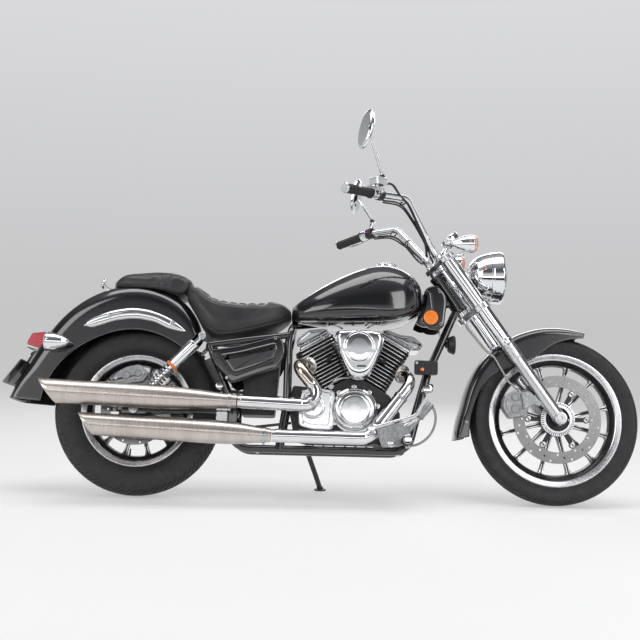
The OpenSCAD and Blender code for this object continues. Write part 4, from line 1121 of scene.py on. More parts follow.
# filler cap: knurled chrome collar and lock cover
a = Acc()
capm = axes((905, 0, 873), (math.sin(math.radians(3)), 0, math.cos(math.radians(3))))
a.add(moved(revolve(rounded_profile([(0, 0), (41, 0), (41, 7), (38, 9), (37, 14), (30, 15.2), (14, 16.6), (0, 17)][:], 0.8), 72), capm), 0)
for k in range(36):
    t = math.radians(10 * k)
    a.add(moved(rod((38.6 * math.cos(t), 38.6 * math.sin(t), 8.4), (37.4 * math.cos(t), 37.4 * math.sin(t), 13.6), 1.3, None, 8, 0.4), capm), 0)
a.add(moved(revolve([(0, 16.2), (9, 16.2), (9, 18.4), (8, 19), (0, 19)], 32), capm), 1)
a.make("tank_cap", "frame", [CHROME, CHROME_SOFT], angle=35, replaces=["fuel_cap"], slot="chrome")


# fenders
REAR = [[176, 464, 30, 340], [168, 452, 44, 336], [158, 438, 58, 328], [146, 436, 64, 318], [135, 444, 66, 308], [124, 454, 68, 300],
        [112, 463, 70, 295], [100, 468, 70, 292], [90, 466, 70, 290], [80, 456, 68, 286], [70, 436, 62, 282], [61, 405, 50, 280], [53, 368, 34, 278]]
FRONT = [[192, 381, 20, 330], [182, 362, 28, 320], [172, 348, 32, 310], [160, 345, 34, 300], [148, 345, 34, 286], [136, 345, 34, 264], [124, 345, 34, 244], [112, 345, 34, 238],
         [101, 345, 34, 256], [90, 345, 34, 282], [80, 345, 30, 302], [72, 344, 18, 318]]


def fender(name, body, cx, cz, stations, w, node, sheet=3.2, per=6, spine=0.0, na=20, bead=2.6):
    S = spline(stations, per)

    def arch(s, off):
        ang, rt, d, rl = s
        half = []
        for k in range(na + 1):
            b = math.radians(90 * k / na)
            y = (w + off) * max(math.cos(b), 0) ** 0.7
            r = rt - d + (d + off) * math.sin(b) ** 0.8
            r += spine * math.exp(-(y / 16.0) ** 2)
            half.append((y, r))
        low = [(w + off, rl + (rt - d - rl) * t) for t in (0, 0.12, 0.3, 0.5, 0.7, 0.88)]
        h = low + half
        full = h + [(-y, r) for y, r in reversed(h[:-1])]
        t = math.radians(ang)
        return np.array([(cx + r * math.cos(t), y, cz + r * math.sin(t)) for y, r in full])
    outer = np.array([arch(s, 0) for s in S])
    inner = np.array([arch(s, -sheet) for s in S])
    rings = [np.concatenate([o, i[::-1]]) for o, i in zip(outer, inner)]
    vv, ff = loft(rings, False, False)
    m = outer.shape[1]
    n = len(rings)
    L = 2 * m
    for e, rev in ((0, False), (n - 1, True)):
        for k in range(m - 1):
            q = (e * L + k, e * L + k + 1, e * L + L - 2 - k, e * L + L - 1 - k)
            ff.append(tuple(reversed(q)) if rev else q)
    a = Acc()
    a.add((vv, ff))
    # rolled wire edge all the way round
    edge = list(outer[:, 0] * 1.0) + list(outer[-1, 1:]) + list(outer[::-1, -1][1:]) + list(outer[0, ::-1][1:-1])
    edge = np.array(edge)
    edge[:, 1] -= np.sign(edge[:, 1]) * np.minimum(np.abs(edge[:, 1]), bead * 0.45)
    a.add(sweep(edge, bead, 10, False, True))
    return a.make(name, body, GLOSS, angle=55, replaces=[node], slot="gloss_paint"), outer, S


rear_fender, R_OUT, R_S = fender("fender_rear", "frame", 0, ZR, REAR, 108.0, "rear_fender", 3.4, 7, 0.0)
front_fender, F_OUT, F_S = fender("fender_front", "fork", WB, ZF, FRONT, 72.0, "front_fender", 3.0, 7, 0.0)
# soft pressed flank line on the front fender: a raised rib following the crown
a = Acc()
for sgn in (1, -1):
    path = []
    for i in range(8, len(F_S) - 4, 2):
        p = F_OUT[i][6 + 7].copy()
        q = F_OUT[i][6 + 7].copy()
        q[1] *= sgn
        path.append(q)
    t_ = np.linspace(0, 1, len(path))
    a.add(sweep(path, 1.6 * np.sin(np.pi * np.clip(t_, 0.02, 0.98)) ** 0.5 + 0.1, 10))
a.make("fender_front_rib", "fork", GLOSS, angle=60, slot="gloss_paint")
# fender bolts
a = Acc()
for sgn in (1, -1):
    for x, z in ((1386, 520), (1418, 476)):
        a.add(hexbolt((x, sgn * 72.4, z), (0, sgn, 0), 5, 4))
    a.add(capbolt(polar3(WB, ZF, sgn * 72.2, 332, 183), (0, sgn, 0), 5, 3))
a.make("fender_bolts_front", "fork", STEEL, angle=30)

# chrome blade on each side of the rear fender: domed between two curves
up = spline([(-200, 610), (-178, 632), (-109, 660), (-60, 671), (-18, 675), (54, 664), (122, 635), (166, 602), (171, 596)], 8)
lo = spline([(-199, 606), (-172, 600), (-147, 607), (-72, 630), (-6, 636), (56, 625), (113, 601), (160, 592), (170, 594)], 8)
a = Acc()
for sgn in (1, -1):
    rings = []
    for p, q in zip(up, lo):
        wdt = np.linalg.norm(p - q)
        rg = []
        nn = 12
        for k in range(nn + 1):
            t = k / nn
            h = min(7.5, wdt * 0.35) * (1 - (2 * t - 1) ** 2) ** 0.6
            c_ = q + (p - q) * t
            rg.append((c_[0], sgn * (108.6 + h), c_[1]))
        rg += [(p[0], sgn * 107.6, p[1]), (q[0], sgn * 107.6, q[1])]
        rings.append(rg)
    vf = loft(rings)
    a.add(vf if sgn < 0 else (vf[0], [tuple(reversed(f)) for f in vf[1]]), 0)
    for x, z in ((-107, 645), (124, 622)):
        a.add(lathe((x, sgn * 113.8, z), (0, sgn, 0), [(0, 0), (10, 0), (10, 2.4), (7, 3.2), (7, 1.6), (4, 1.6), (4, 3.6), (0, 3.6)], 28, 0.3), 1)
a.make("fender_blades", "frame", [CHROME_SOFT, STEEL], angle=40, replaces=["fender_trims"], slot="chrome")

# small reflector with its chrome bracket on top of the rear fender
a = Acc()
a.add(sweep(bend([(-122, 0, 762), (-140, 0, 768), (-150, 0, 776), (-156, 0, 790)], 6, 5), 1.0, prof=[(1.6, -16), (1.6, 16), (-1.6, 16), (-1.6, -16)]), 0)
a.add(lathe((-156, 0, 784), (-1, 0, 0.12), [(0, -2), (17, -2), (19, 0), (19, 5), (17, 7), (0, 7)], 36, 0.8), 0)
a.add(lathe((-162.4, 0, 784.8), (-1, 0, 0.12), [(0, 0), (15.5, 0), (15.5, 2), (12, 3.2), (0, 3.8)], 36, 0.5), 1)
a.make("rear_reflector", "frame", [CHROME, RED], angle=35)

# tail light
a = Acc()
sec = soft_poly([(-419, 541), (-400, 584), (-340, 590), (-322, 574), (-322, 520), (-352, 512)], 9, 4)
red_face = soft_poly([(-416, 545), (-399, 582), (-342, 588), (-330, 574), (-345, 530), (-362, 528)], 8, 4)
vf = prism(sec, -51, 51, 5)
a.add(vf, 0)
rings = []
for dy, ins in ((52, 3.5), (53.8, 1.2), (54.0, 0.0), (-54.0, 0.0), (-53.8, 1.2), (-52, 3.5)):
    q = inset(red_face[::-1] if poly_area(red_face) < 0 else red_face, ins - 1.2)
    rings.append([(x, dy, z) for x, z in q])
vf = loft(rings)
a.add((vf[0], [tuple(reversed(f)) for f in vf[1]]), 1)
a.add(sweep(spline([(-417, -50, 538), (-420.5, -30, 536.5), (-421, 0, 536.5), (-420.5, 30, 536.5), (-417, 50, 538)], 6), 1.0, prof=[(5.5, -2.4), (5.5, 2.4), (-5.5, 2.4), (-5.5, -2.4)]), 2)
a.add(sweep(spline([(-352, -54.6, 520), (-386, -54.6, 528), (-415, -54.6, 537)], 6), 1.0, prof=[(3.8, -1.6), (3.8, 1.6), (-3.8, 1.6), (-3.8, -1.6)]), 2)
a.add(sweep(spline([(-352, 54.6, 520), (-386, 54.6, 528), (-415, 54.6, 537)], 6), 1.0, prof=[(3.8, -1.6), (3.8, 1.6), (-3.8, 1.6), (-3.8, -1.6)]), 2)
a.add(prism(soft_poly([(-330, 594), (-344, 594), (-352, 588), (-320, 560), (-300, 604)], 4, 3), -40, 40, 2), 3)
a.make("tail_lamp", "frame", [PLASTIC, RED, MILKY, CHROME_SOFT], angle=35, replaces=["tail_light"], slot="red_lens")

# rear signals: chrome bullets that point forward, lens behind
a = Acc()
for sgn in (1, -1):
    p = (-328, sgn * 150, 538)
    a.add(lathe(p, (1, 0, 0), [(0, 5), (28, 5), (31.5, 6), (33, 12), (32.4, 30), (29.5, 48), (23, 66), (14, 81), (6, 89.5), (0, 92)], 64, 1.5), 0)
    a.add(lathe(p, (1, 0, 0), [(33.4, 7.5), (34.4, 9.5), (33.2, 12)], 64, 0.2), 0)
    a.add(lathe(p, (1, 0, 0), [(0, 0), (14, 0.4), (26, 2.0), (29.6, 5), (30, 7), (0, 7)], 64, 1.0), 1)
    a.add(sweep(bend([(-296, sgn * 108.4, 538), (-296, sgn * 124, 538)], 5), 8.0, 24), 2)
    a.add(lathe((-296, sgn * 108.2, 538), (0, sgn, 0), [(0, 0), (14, 0), (13, 3.5), (9, 5), (0, 5)], 32, 0.6), 2)
a.make("signals_rear", "frame", [CHROME, MILKY, PLASTIC], angle=35, replaces=["rear_signals"], slot="chrome")

# number plate and holder, blank
a = Acc()
dv = unit(V(-485 + 421, 0, 393 - 484))
nv = unit(np.cross(V(0, 1, 0), dv))
if nv[0] > 0:
    nv = -nv
pc = V(-453, 0, 438.5)


def on_plate(y, t, h):
    return pc + V(0, 1, 0) * y + dv * t + nv * h


outl = soft_poly([(-98, -53), (98, -53), (98, 53), (-98, 53)], 9, 5)
rings = []
for ins_, h in ((0, -1.2), (0, 0.6), (1.0, 1.4), (3.4, 1.4), (4.4, 0.7), (6, 0.6)):
    q = inset(outl, ins_)
    rings.append([on_plate(y, t, h) for y, t in q])
vf = loft(rings)
sgn = 1
a.add((vf[0], [tuple(reversed(f)) for f in vf[1]]), 0)
for y in (-62, 62):
    a.add(lathe(on_plate(y, -38, 0.6), nv, [(0, 0), (6, 0), (6, 1.5), (4.6, 2.8), (0, 3.2)], 24, 0.4), 2)
br = soft_poly([(-417, 483), (-395, 520), (-352, 516), (-352, 480), (-380, 455), (-404, 420), (-442, 432)], 8, 4)
a.add(prism(br, -34, 34, 3), 1)
for sg in (-1, 1):
    vv = [on_plate(y, t, h) for h in (-5.5, -1.4) for y, t in ((sg * 40, -50), (sg * 92, -50), (sg * 92, 10), (sg * 40, 44))]
    a.add((np.array(vv), [(0, 1, 2, 3), (7, 6, 5, 4), (0, 4, 5, 1), (1, 5, 6, 2), (2, 6, 7, 3), (3, 7, 4, 0)]), 1)
a.add(lathe((-388, 0, 507), (-0.8, 0, -0.6), [(0, 0), (22, 0), (22, 16), (18, 20), (0, 20)], 36, 1.2), 1)
a.make("plate_blank", "frame", [PLATE, PLASTIC, STEEL], angle=35, replaces=["number_plate"], slot="plate_grey")

# side covers: moulded panels with a raised field
a = Acc()
o1 = soft_poly([(264, 524), (300, 529), (370, 541), (512, 582), (530, 556), (536, 520), (512, 462), (440, 440), (345, 404), (318, 440), (280, 470)], 16, 6)
o2 = soft_poly([(296, 508), (372, 522), (500, 558), (513, 538), (498, 484), (432, 456), (352, 426), (322, 470)], 18, 6)
for sgn in (-1, 1):
    vf = puff(o1, sgn * 136, [(0, 0), (0, 5), (1.0, 8), (3, 9.6), (8, 10.2)], sgn)
    a.add(vf if sgn < 0 else (vf[0], [tuple(reversed(f)) for f in vf[1]][::1]), 0)
    vf = puff(o2, sgn * 145, [(0, 0), (1.2, 2.6), (4, 5.0), (9, 6.8), (16, 7.8), (26, 8.2)], sgn)
    a.add(vf if sgn < 0 else (vf[0], [tuple(reversed(f)) for f in vf[1]]), 0)
    a.add(capbolt((500, sgn * 146, 572), (0, sgn, 0), 6, 3), 1)
    a.add(capbolt((330, sgn * 146, 424), (0, sgn, 0), 6, 3), 1)
ob = a.make("side_panels", "frame", [GLOSS, STEEL], angle=40, replaces=["side_covers"], slot="gloss_paint")
# cross ribs low on the side cover, as moulded louvres
a = Acc()
for k in range(3):
    for sgn in (-1, 1):
        p, q = V(352 + 10 * k, sgn * 150.5, 436 - 20 * k + 16), V(498 - 2 * k, sgn * 150.5, 496 - 18 * k + 4)
        a.add(sweep(spline([p, (p + q) / 2 + V(0, sgn * 2.0, 2), q], 8), 2.6, 10))
a.make("side_louvres", "frame", PLASTIC, angle=50)

# neck covers and round amber reflectors
a = Acc()
n1 = soft_poly([(1046, 786), (1091, 800), (1122, 764), (1127, 733), (1116, 640), (1092, 630), (1055, 634), (1040, 700)], 14, 6)
n2 = soft_poly([(1044, 780), (1070, 770), (1080, 700), (1070, 640), (1040, 638), (1012, 650), (1036, 700)], 10, 6)
for sgn in (-1, 1):
    vf = puff(n1, sgn * 60, [(0, 0), (0, 8), (1.5, 11.5), (5, 13.6), (12, 14)], sgn)
    a.add(vf if sgn < 0 else (vf[0], [tuple(reversed(f)) for f in vf[1]]), 0)
    vf = puff(n2, sgn * 62, [(0, 0), (0, 16), (2, 21), (6, 24.5), (11, 25.6)], sgn)
    a.add(vf if sgn < 0 else (vf[0], [tuple(reversed(f)) for f in vf[1]]), 0)
    c = (1066, sgn * 84, 672)
    a.add(lathe(c, (0, sgn, 0), [(0, 0), (30.5, 0), (31.5, 1.5), (31, 6.5), (28.4, 8), (27.2, 7.2), (27.2, 5), (0, 5)], 64, 0.5), 1)
    a.add(lathe((1066, sgn * 88.6, 672), (0, sgn, 0), [(0, 0), (27, 0), (26.4, 1.8), (23.5, 3.0), (0, 3.4)], 64, 0.5), 2)
    a.add(capbolt((1104, sgn * 73.6, 652), (0, sgn, 0), 6, 3), 3)
    a.add(capbolt((1100, sgn * 73.6, 774), (0, sgn, 0), 6, 3), 3)
a.make("neck_panels", "frame", [GLOSS, PLASTIC, AMBER, STEEL], angle=40, replaces=["neck_covers"], slot="gloss_paint")

# ------------------------------------------------------------------ seats
SEAT = [[170, 774, 744, 706, 98], [200, 774, 740, 656, 116], [235, 746, 714, 600, 128], [270, 723, 696, 567, 136], [320, 712, 686, 563, 141], [380, 709, 682, 577, 138],
        [430, 712, 685, 592, 128], [480, 719, 693, 608, 110], [520, 718, 696, 630, 88], [548, 702, 682, 652, 58]]
PILL = [[-116, 772, 762, 752, 40], [-104, 786, 764, 742, 72], [-70, 812, 772, 738, 92], [0, 821, 778, 740, 100], [70, 825, 780, 736, 104], [130, 822, 776, 726, 104], [162, 808, 772, 734, 98], [182, 792, 786, 778, 84]]


def pad_mesh(name, stations, e1, e2, shrink, floor_fn, n=72, per=6):
    """Closed starting shape inside the CAD pad: shrunken rings, with the underside raised clear of what it sits on."""
    S = spline(stations, per)
    rings = []
    ends = [(0.35, -1.0), (0.65, -0.75), (0.86, -0.4)]
    def ring(s, k):
        x, top, mid, bot, w = s
        r_ = np.array(oval(x, top - shrink, mid, bot + shrink * 0.5, max(w - shrink, 8), e1, e2, n))
        c = np.array([x, 0, (top + bot) / 2])
        r_ = c + (r_ - c) * [1, k, k]
        lim = floor_fn(r_[:, 0], r_[:, 1])
        r_[:, 2] = np.maximum(r_[:, 2], lim)
        return r_
    s0, s1 = S[0], S[-1]
    for k, d in ends:
        q = s0.copy(); q[0] += 4 * d
        rings.append(ring(q, k))
    rings += [ring(s, 1.0) for s in S]
    for k, d in reversed(ends):
        q = s1.copy(); q[0] -= 4 * d
        rings.append(ring(q, k))
    vv, ff = loft(rings)
    return vv, [tuple(reversed(q)) for q in ff]


def fender_floor(margin):
    S = spline(REAR, 7)
    ang = np.array([s[0] for s in S])[::-1]
    rt = np.array([s[1] for s in S])[::-1]
    dr = np.array([s[2] for s in S])[::-1]

    def f(x, y):
        # height of the fender's outside at x, y, by marching up
        out = np.full(len(x), 300.0)
        for it in range(len(x)):
            z = 900.0
            for step in range(140):
                a_ = math.degrees(math.atan2(z - ZR, x[it]))
                r_ = math.hypot(x[it], z - ZR)
                if not (53 <= a_ <= 176):
                    z = 300.0
                    break
                R_, D_ = np.interp(a_, ang, rt), np.interp(a_, ang, dr)
                b_ = min(abs(y[it]) / (108.0 + margin), 1.0)
                if abs(y[it]) >= 108.0 + margin:
                    z = 300.0
                    break
                sb = math.sqrt(max(0, 1 - (b_ ** (1 / 0.7)) ** 2))
                top = R_ - D_ + (D_ + margin) * sb ** 0.8
                if r_ <= top:
                    break
                z -= 3.0
            out[it] = z
        return out
    return f


def relax_pad(name, vf, body, pin_below, cap_mm, pressure=4.0, voxel=0.0055, keep=None):
    """Closed pad blown up gently with cloth, its movement capped, then subdivided."""
    me = bpy.data.meshes.new(name)
    me.from_pydata(W(vf[0]).tolist(), [], vf[1])
    me.update()
    ob = bpy.data.objects.new(name, me)
    scene.collection.objects.link(ob)
    rm = ob.modifiers.new("Remesh", "REMESH")
    rm.mode = "VOXEL"
    rm.voxel_size = voxel
    bpy.context.view_layer.objects.active = ob
    dg = bpy.context.evaluated_depsgraph_get()
    new = bpy.data.meshes.new_from_object(ob.evaluated_get(dg))
    ob.modifiers.clear()
    ob.data = new
    me = ob.data
    n = len(me.vertices)
    base = np.empty(n * 3); me.vertices.foreach_get("co", base); base = base.reshape(-1, 3)
    vg = ob.vertex_groups.new(name="hold")
    bx, by, bz = unlean(base)
    wts = pin_below(bx, by, bz)
    for i in range(n):
        if wts[i] > 0.01:
            vg.add([i], float(min(1, wts[i])), "REPLACE")
    cl = ob.modifiers.new("Cloth", "CLOTH")
    cs = cl.settings
    cs.quality = 5
    cs.mass = 0.3
    cs.tension_stiffness = cs.compression_stiffness = 18
    cs.shear_stiffness = 6
    cs.bending_stiffness = 0.6
    cs.use_pressure = True
    cs.uniform_pressure_force = pressure
    cs.effector_weights.gravity = 0
    cs.vertex_group_mass = "hold"
    cl.collision_settings.use_collision = False
    cl.collision_settings.use_self_collision = False
    cl.point_cache.frame_start, cl.point_cache.frame_end = 1, 22
    for f in range(1, 21):
        scene.frame_set(f)
    dg = bpy.context.evaluated_depsgraph_get()
    new = bpy.data.meshes.new_from_object(ob.evaluated_get(dg))
    co = np.empty(n * 3); new.vertices.foreach_get("co", co); co = co.reshape(-1, 3)
    dlt = co - base
    l = np.linalg.norm(dlt, axis=1)
    cap = cap_mm / 1000
    lim = cap * np.tanh(l / cap)
    co = base + dlt * (lim / np.maximum(l, 1e-9))[:, None]
    ob.modifiers.clear()
    ob.vertex_groups.clear()
    scene.frame_set(1)
    me.vertices.foreach_set("co", co.ravel())
    me.update()
    # smooth the voxel steps
    bm = bmesh.new(); bm.from_mesh(me)
    for _ in range(6):
        bmesh.ops.smooth_vert(bm, verts=bm.verts, factor=0.5, use_axis_x=True, use_axis_y=True, use_axis_z=True)
    bm.to_mesh(me); bm.free()
    # one subdivision, in the mesh, so channels can be pressed into it
    sb = ob.modifiers.new("Subdivision", "SUBSURF"); sb.levels = sb.render_levels = 1
    dg = bpy.context.evaluated_depsgraph_get()
    new = bpy.data.meshes.new_from_object(ob.evaluated_get(dg))
    ob.modifiers.clear()
    ob.data = new
    return ob


def unlean(co):
    p = np.asarray(co) * 1000
    x = p[:, 0] + MIDX
    yy, zz = p[:, 1] + MIDY, p[:, 2]
    return x, yy * CL - zz * SL, yy * SL + zz * CL


def press(ob, fn):
    """Moves points along their normals by fn(x, y, z, normal) in millimetres, upright axes."""
    me = ob.data
    n = len(me.vertices)
    co = np.empty(n * 3); me.vertices.foreach_get("co", co); co = co.reshape(-1, 3)
    no = np.empty(n * 3); me.vertices.foreach_get("normal", no); no = no.reshape(-1, 3)
    x, y, z = unlean(co)
    ny, nz = no[:, 1] * CL - no[:, 2] * SL, no[:, 1] * SL + no[:, 2] * CL
    nb = np.stack([no[:, 0], ny, nz], 1)
    h = fn(x, y, z, nb)
    me.vertices.foreach_set("co", (co + no * (h / 1000)[:, None]).ravel())
    me.update()


def finish_pad(ob, body, mats, node):
    me = ob.data
    me.materials.clear()
    for m in mats:
        me.materials.append(m)
    me.polygons.foreach_set("use_smooth", [True] * len(me.polygons))
    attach(ob, body)
    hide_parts(node)


def groove(d, width, depth):
    return -depth * np.exp(-(d / width) ** 2)


ff_ = fender_floor(9.0)


def seat_floor(x, y):
    z = ff_(x, y)
    return z


vf = pad_mesh("seat", SEAT, 0.72, 0.45, 5.0, seat_floor)
seat = relax_pad("rider_seat_pad", vf, "frame", lambda x, y, z: np.clip((np.interp(x, [170, 270, 430, 548], [712, 600, 620, 672]) - z) / 20, 0, 1), 7.0)
LINES_X = [262, 296, 330, 364, 398, 432, 464]


def seat_detail(x, y, z, n):
    up = np.clip((n[:, 2] - 0.35) / 0.4, 0, 1)
    w = np.interp(x, [170, 235, 300, 380, 430, 480, 548], [70, 86, 98, 98, 88, 72, 40])
    inside = np.clip((w - np.abs(y)) / 6, 0, 1)
    h = np.zeros(len(x))
    for lx in LINES_X:
        cx = lx + 10 * np.cos(np.pi * y / 200) - 10
        h += groove(x - cx, 4.2, 4.6) * up * inside
    for a_, b_ in zip([228] + LINES_X, LINES_X + [496]):
        cx = (a_ + b_) / 2 + 10 * np.cos(np.pi * y / 200) - 10
        h += 2.4 * np.exp(-((x - cx) / 11.0) ** 2) * up * inside
    # welt between crown and skirt
    h += groove(np.abs(y) - w, 2.6, 3.2) * np.clip((n[:, 2] + 0.1) / 0.3, 0, 1) * (x < 520)
    # skirt seam following the lower edge
    zz = np.interp(x, [196, 234, 292, 345, 431, 509, 539], [690, 622, 592, 596, 618, 646, 664])
    h += groove(z - zz, 2.4, 2.0) * (np.abs(n[:, 1]) > 0.45)
    # pull creases where the skirt turns forward
    h += 0.9 * np.sin((x * 0.9 + z * 0.7) / 9.0) * np.exp(-((x - 236) / 34.0) ** 2 - ((z - 668) / 42.0) ** 2) * (np.abs(n[:, 1]) > 0.4)
    return h


press(seat, seat_detail)
finish_pad(seat, "frame", [LEATHER], "rider_seat")

ffp = fender_floor(3.5)


def pill_floor(x, y):
    z = ffp(x, y)
    return np.maximum(z, np.interp(x, [-116, -104, 162, 182], [752, 742, 734, 760]))


vf = pad_mesh("pillion", PILL, 0.62, 0.5, 4.0, pill_floor)
pill = relax_pad("pillion_pad", vf, "frame", lambda x, y, z: np.clip((762 - z) / 12, 0, 1), 6.0)


def pill_detail(x, y, z, n):
    up = np.clip((n[:, 2] - 0.2) / 0.4, 0, 1)
    w = np.interp(x, [-116, -70, 0, 100, 182], [34, 66, 78, 84, 74])
    h = groove(np.abs(y) - w, 2.4, 2.8) * up
    h += groove(z - np.interp(x, [-116, 182], [764, 764]), 2.2, 1.8) * (np.abs(n[:, 1]) > 0.6)
    # dent under the strap
    h += -2.2 * np.exp(-((x - np.interp(z, [740, 822], [80, 96])) / 17.0) ** 4)
    h += 0.7 * np.sin((x * 1.1 - z * 0.6) / 8.0) * np.exp(-((np.abs(y) - w - 8) / 14.0) ** 2) * np.exp(-((x - 96) / 60.0) ** 2)
    return h


press(pill, pill_detail)
finish_pad(pill, "frame", [LEATHER], "pillion_seat")


# strap over the pillion, laid on the pad by casting rays
def drape(ob, samples, out=1.6):
    """Casts from outside to the pad; samples are (start, direction) in upright axes."""
    bm = bmesh.new(); bm.from_mesh(ob.data)
    from mathutils.bvhtree import BVHTree
    tree = BVHTree.FromBMesh(bm)
    pts = []
    for s, d in samples:
        sw_, dw_ = W(s)[0], Wd(unit(d))
        hit = tree.ray_cast(Vector(sw_), Vector(dw_))
        if hit[0] is None:
            pts.append(None)
            continue
        p = np.array(hit[0])
        x, y, z = unlean(p[None])
        pts.append(V(x[0], y[0], z[0]) - unit(d) * out)
    bm.free()
    return pts


def stitch_line(acc, pts, gap=5.2, lng=3.4, r=0.55):
    """Short raised stitches along a line of points."""
    P = [p for p in pts if p is not None]
    if len(P) < 3:
        return
    P = np.array(P)
    seg = np.linalg.norm(np.diff(P, axis=0), axis=1)
    s = np.concatenate([[0], np.cumsum(seg)])
    t = 0.0
    while t + lng < s[-1]:
        q = [np.array([np.interp(t + lng * k, s, P[:, i]) for i in range(3)]) for k in (0, 0.5, 1)]
        acc.add(sweep(q, [r * 0.6, r, r * 0.6], 5))
        t += gap


a = Acc()
cz = 772
for off, wv in ((0, 14.5),):
    ring = []
    samples = []
    angs = np.linspace(-14, 194, 64)
    for deg in angs:
        t = math.radians(deg)
        d_out = V(0, math.cos(t), math.sin(t))
        xs = np.interp(math.sin(t), [-0.3, 1], [78, 96])
        samples.append((V(xs, 0, cz) + d_out * 220, -d_out))
    mid_pts = drape(pill, samples, 1.4)
    rings = []
    for p, deg in zip(mid_pts, angs):
        if p is None:
            continue
        t = math.radians(deg)
        o = V(0, math.cos(t), math.sin(t))
        ex = V(1, 0, 0)
        rg = [p - ex * 15 - o * 2.2, p - ex * 15 + o * 0.9, p - ex * 13.6 + o * 1.8, p + o * 1.5, p + ex * 13.6 + o * 1.8, p + ex * 15 + o * 0.9, p + ex * 15 - o * 2.2]
        rings.append(rg)
    vf = loft(rings)
    a.add(vf, 0)
strap = a.make("pillion_strap", "frame", [LEATHER_STRAP], angle=50, slot="seat_leather")
a = Acc()
for dx in (-11.5, 11.5):
    pts = []
    for p, deg in zip(mid_pts, angs):
        if p is None:
            continue
        t = math.radians(deg)
        pts.append(p + V(dx, 0, 0) + V(0, math.cos(t), math.sin(t)) * 1.9)
    stitch_line(a, pts)
a.make("strap_stitching", "frame", [THREAD], angle=60)

# stitching along the seat's welt and channels
a = Acc()
for sgn in (1, -1):
    samples = []
    for x in np.linspace(205, 510, 90):
        w = np.interp(x, [170, 235, 300, 380, 430, 480, 548], [70, 86, 98, 98, 88, 72, 40])
        samples.append((V(x, sgn * (w + 4.0), 860), V(0, 0, -1)))
    stitch_line(a, drape(seat, samples, 0.25))
for lx in LINES_X:
    for dx in (0,):
        samples = []
        w = np.interp(lx, [170, 235, 300, 380, 430, 480, 548], [70, 86, 98, 98, 88, 72, 40]) - 4
        for y in np.linspace(-w, w, 44):
            samples.append((V(lx + 10 * math.cos(math.pi * y / 200) - 10, y, 860), V(0, 0, -1)))
        stitch_line(a, drape(seat, samples, 0.2), 6.0, 3.6, 0.5)
for sgn in (1, -1):
    samples = []
    for x in np.linspace(-92, 168, 70):
        w = np.interp(x, [-116, -70, 0, 100, 182], [34, 66, 78, 84, 74])
        if 70 < x < 122:
            continue
        samples.append((V(x, sgn * (w - 4.0), 900), V(0, 0, -1)))
    h_ = len([1 for s in samples if s[0][0] < 100])
    stitch_line(a, drape(pill, samples[:h_], 0.25))
    stitch_line(a, drape(pill, samples[h_:], 0.25))
a.make("seat_stitching", "frame", [THREAD], angle=60)

# ------------------------------------------------------------------ engine
CX, CZ = 790, 320


def local(base, m):
    return lambda vf: moved(vf, m)


def cyl_frame(sign):
    """Bore axis of one cylinder: sign -1 rear, 1 front. Local Z along the bore, X inward."""
    t = math.radians(30)
    z = V(sign * math.sin(t), 0, math.cos(t))
    x = V(-sign * math.cos(t), 0, math.sin(t))
    m = np.eye(4)
    y = np.cross(z, x)
    m[:3, 0], m[:3, 1], m[:3, 2], m[:3, 3] = x, y, z, (CX, 0, CZ)
    return m


a = Acc()
for sign, w in ((-1, 82), (1, 64)):
    m = cyl_frame(sign)

    def slab(pts, z0, z1, ch=0.7, edge=1):
        P = np.asarray(pts, float)
        if poly_area(P) < 0:
            P = P[::-1]
        Q = inset(P, ch)
        rings = [[(x, y, z0) for x, y in Q], [(x, y, z0 + ch) for x, y in P], [(x, y, z1 - ch) for x, y in P], [(x, y, z1) for x, y in Q]]
        vv, ff = loft(rings)
        ff = [tuple(reversed(q)) for q in ff]
        n = len(P)
        mi = [0] * n + [edge] * n + [0] * n + [0, 0]
        return moved((vv, ff, mi), m)
    a.add(slab([(-50, -56), (50, -56), (50, 56), (-50, 56)], 120, 298, 2, 0))
    for k in range(10):
        s = 124 + 13 * k
        inn = min(s * 0.577 - 3, w)
        if sign < 0:
            inn = min(inn, 64)
        a.add(slab(soft_poly([(-w, -62), (-w + 20, -84), (inn - 14, -84), (inn, -66), (inn, 66), (inn - 14, 84), (-w + 20, 84), (-w, 62)], 9, 3), s, s + 3.4, 0.6, 1))
    for k in range(3):
        a.add(slab(soft_poly([(-w - 2, -56), (-w + 14, -76), (60, -76), (72, -60), (72, 60), (60, 76), (-w + 14, 76), (-w - 2, 56)], 9, 3), 258 + 13 * k, 258 + 13 * k + 4.4, 0.6, 1))
    a.add(slab(soft_poly([(-62, -66), (64, -66), (64, 66), (-62, 66)], 8, 3), 291, 300, 1, 1))
    # head nuts
    for x in (-34, 34):
        for y in (-70, 70):
            a.add(moved((hexbolt((x, y, 286), (0, 0, 1), 5, 6)[1]), m), 2)
ob = a.make("cylinder_fins", "frame", [ENGINE, MACHINED, STEEL], angle=30, replaces=["cylinders"], slot="engine_black")

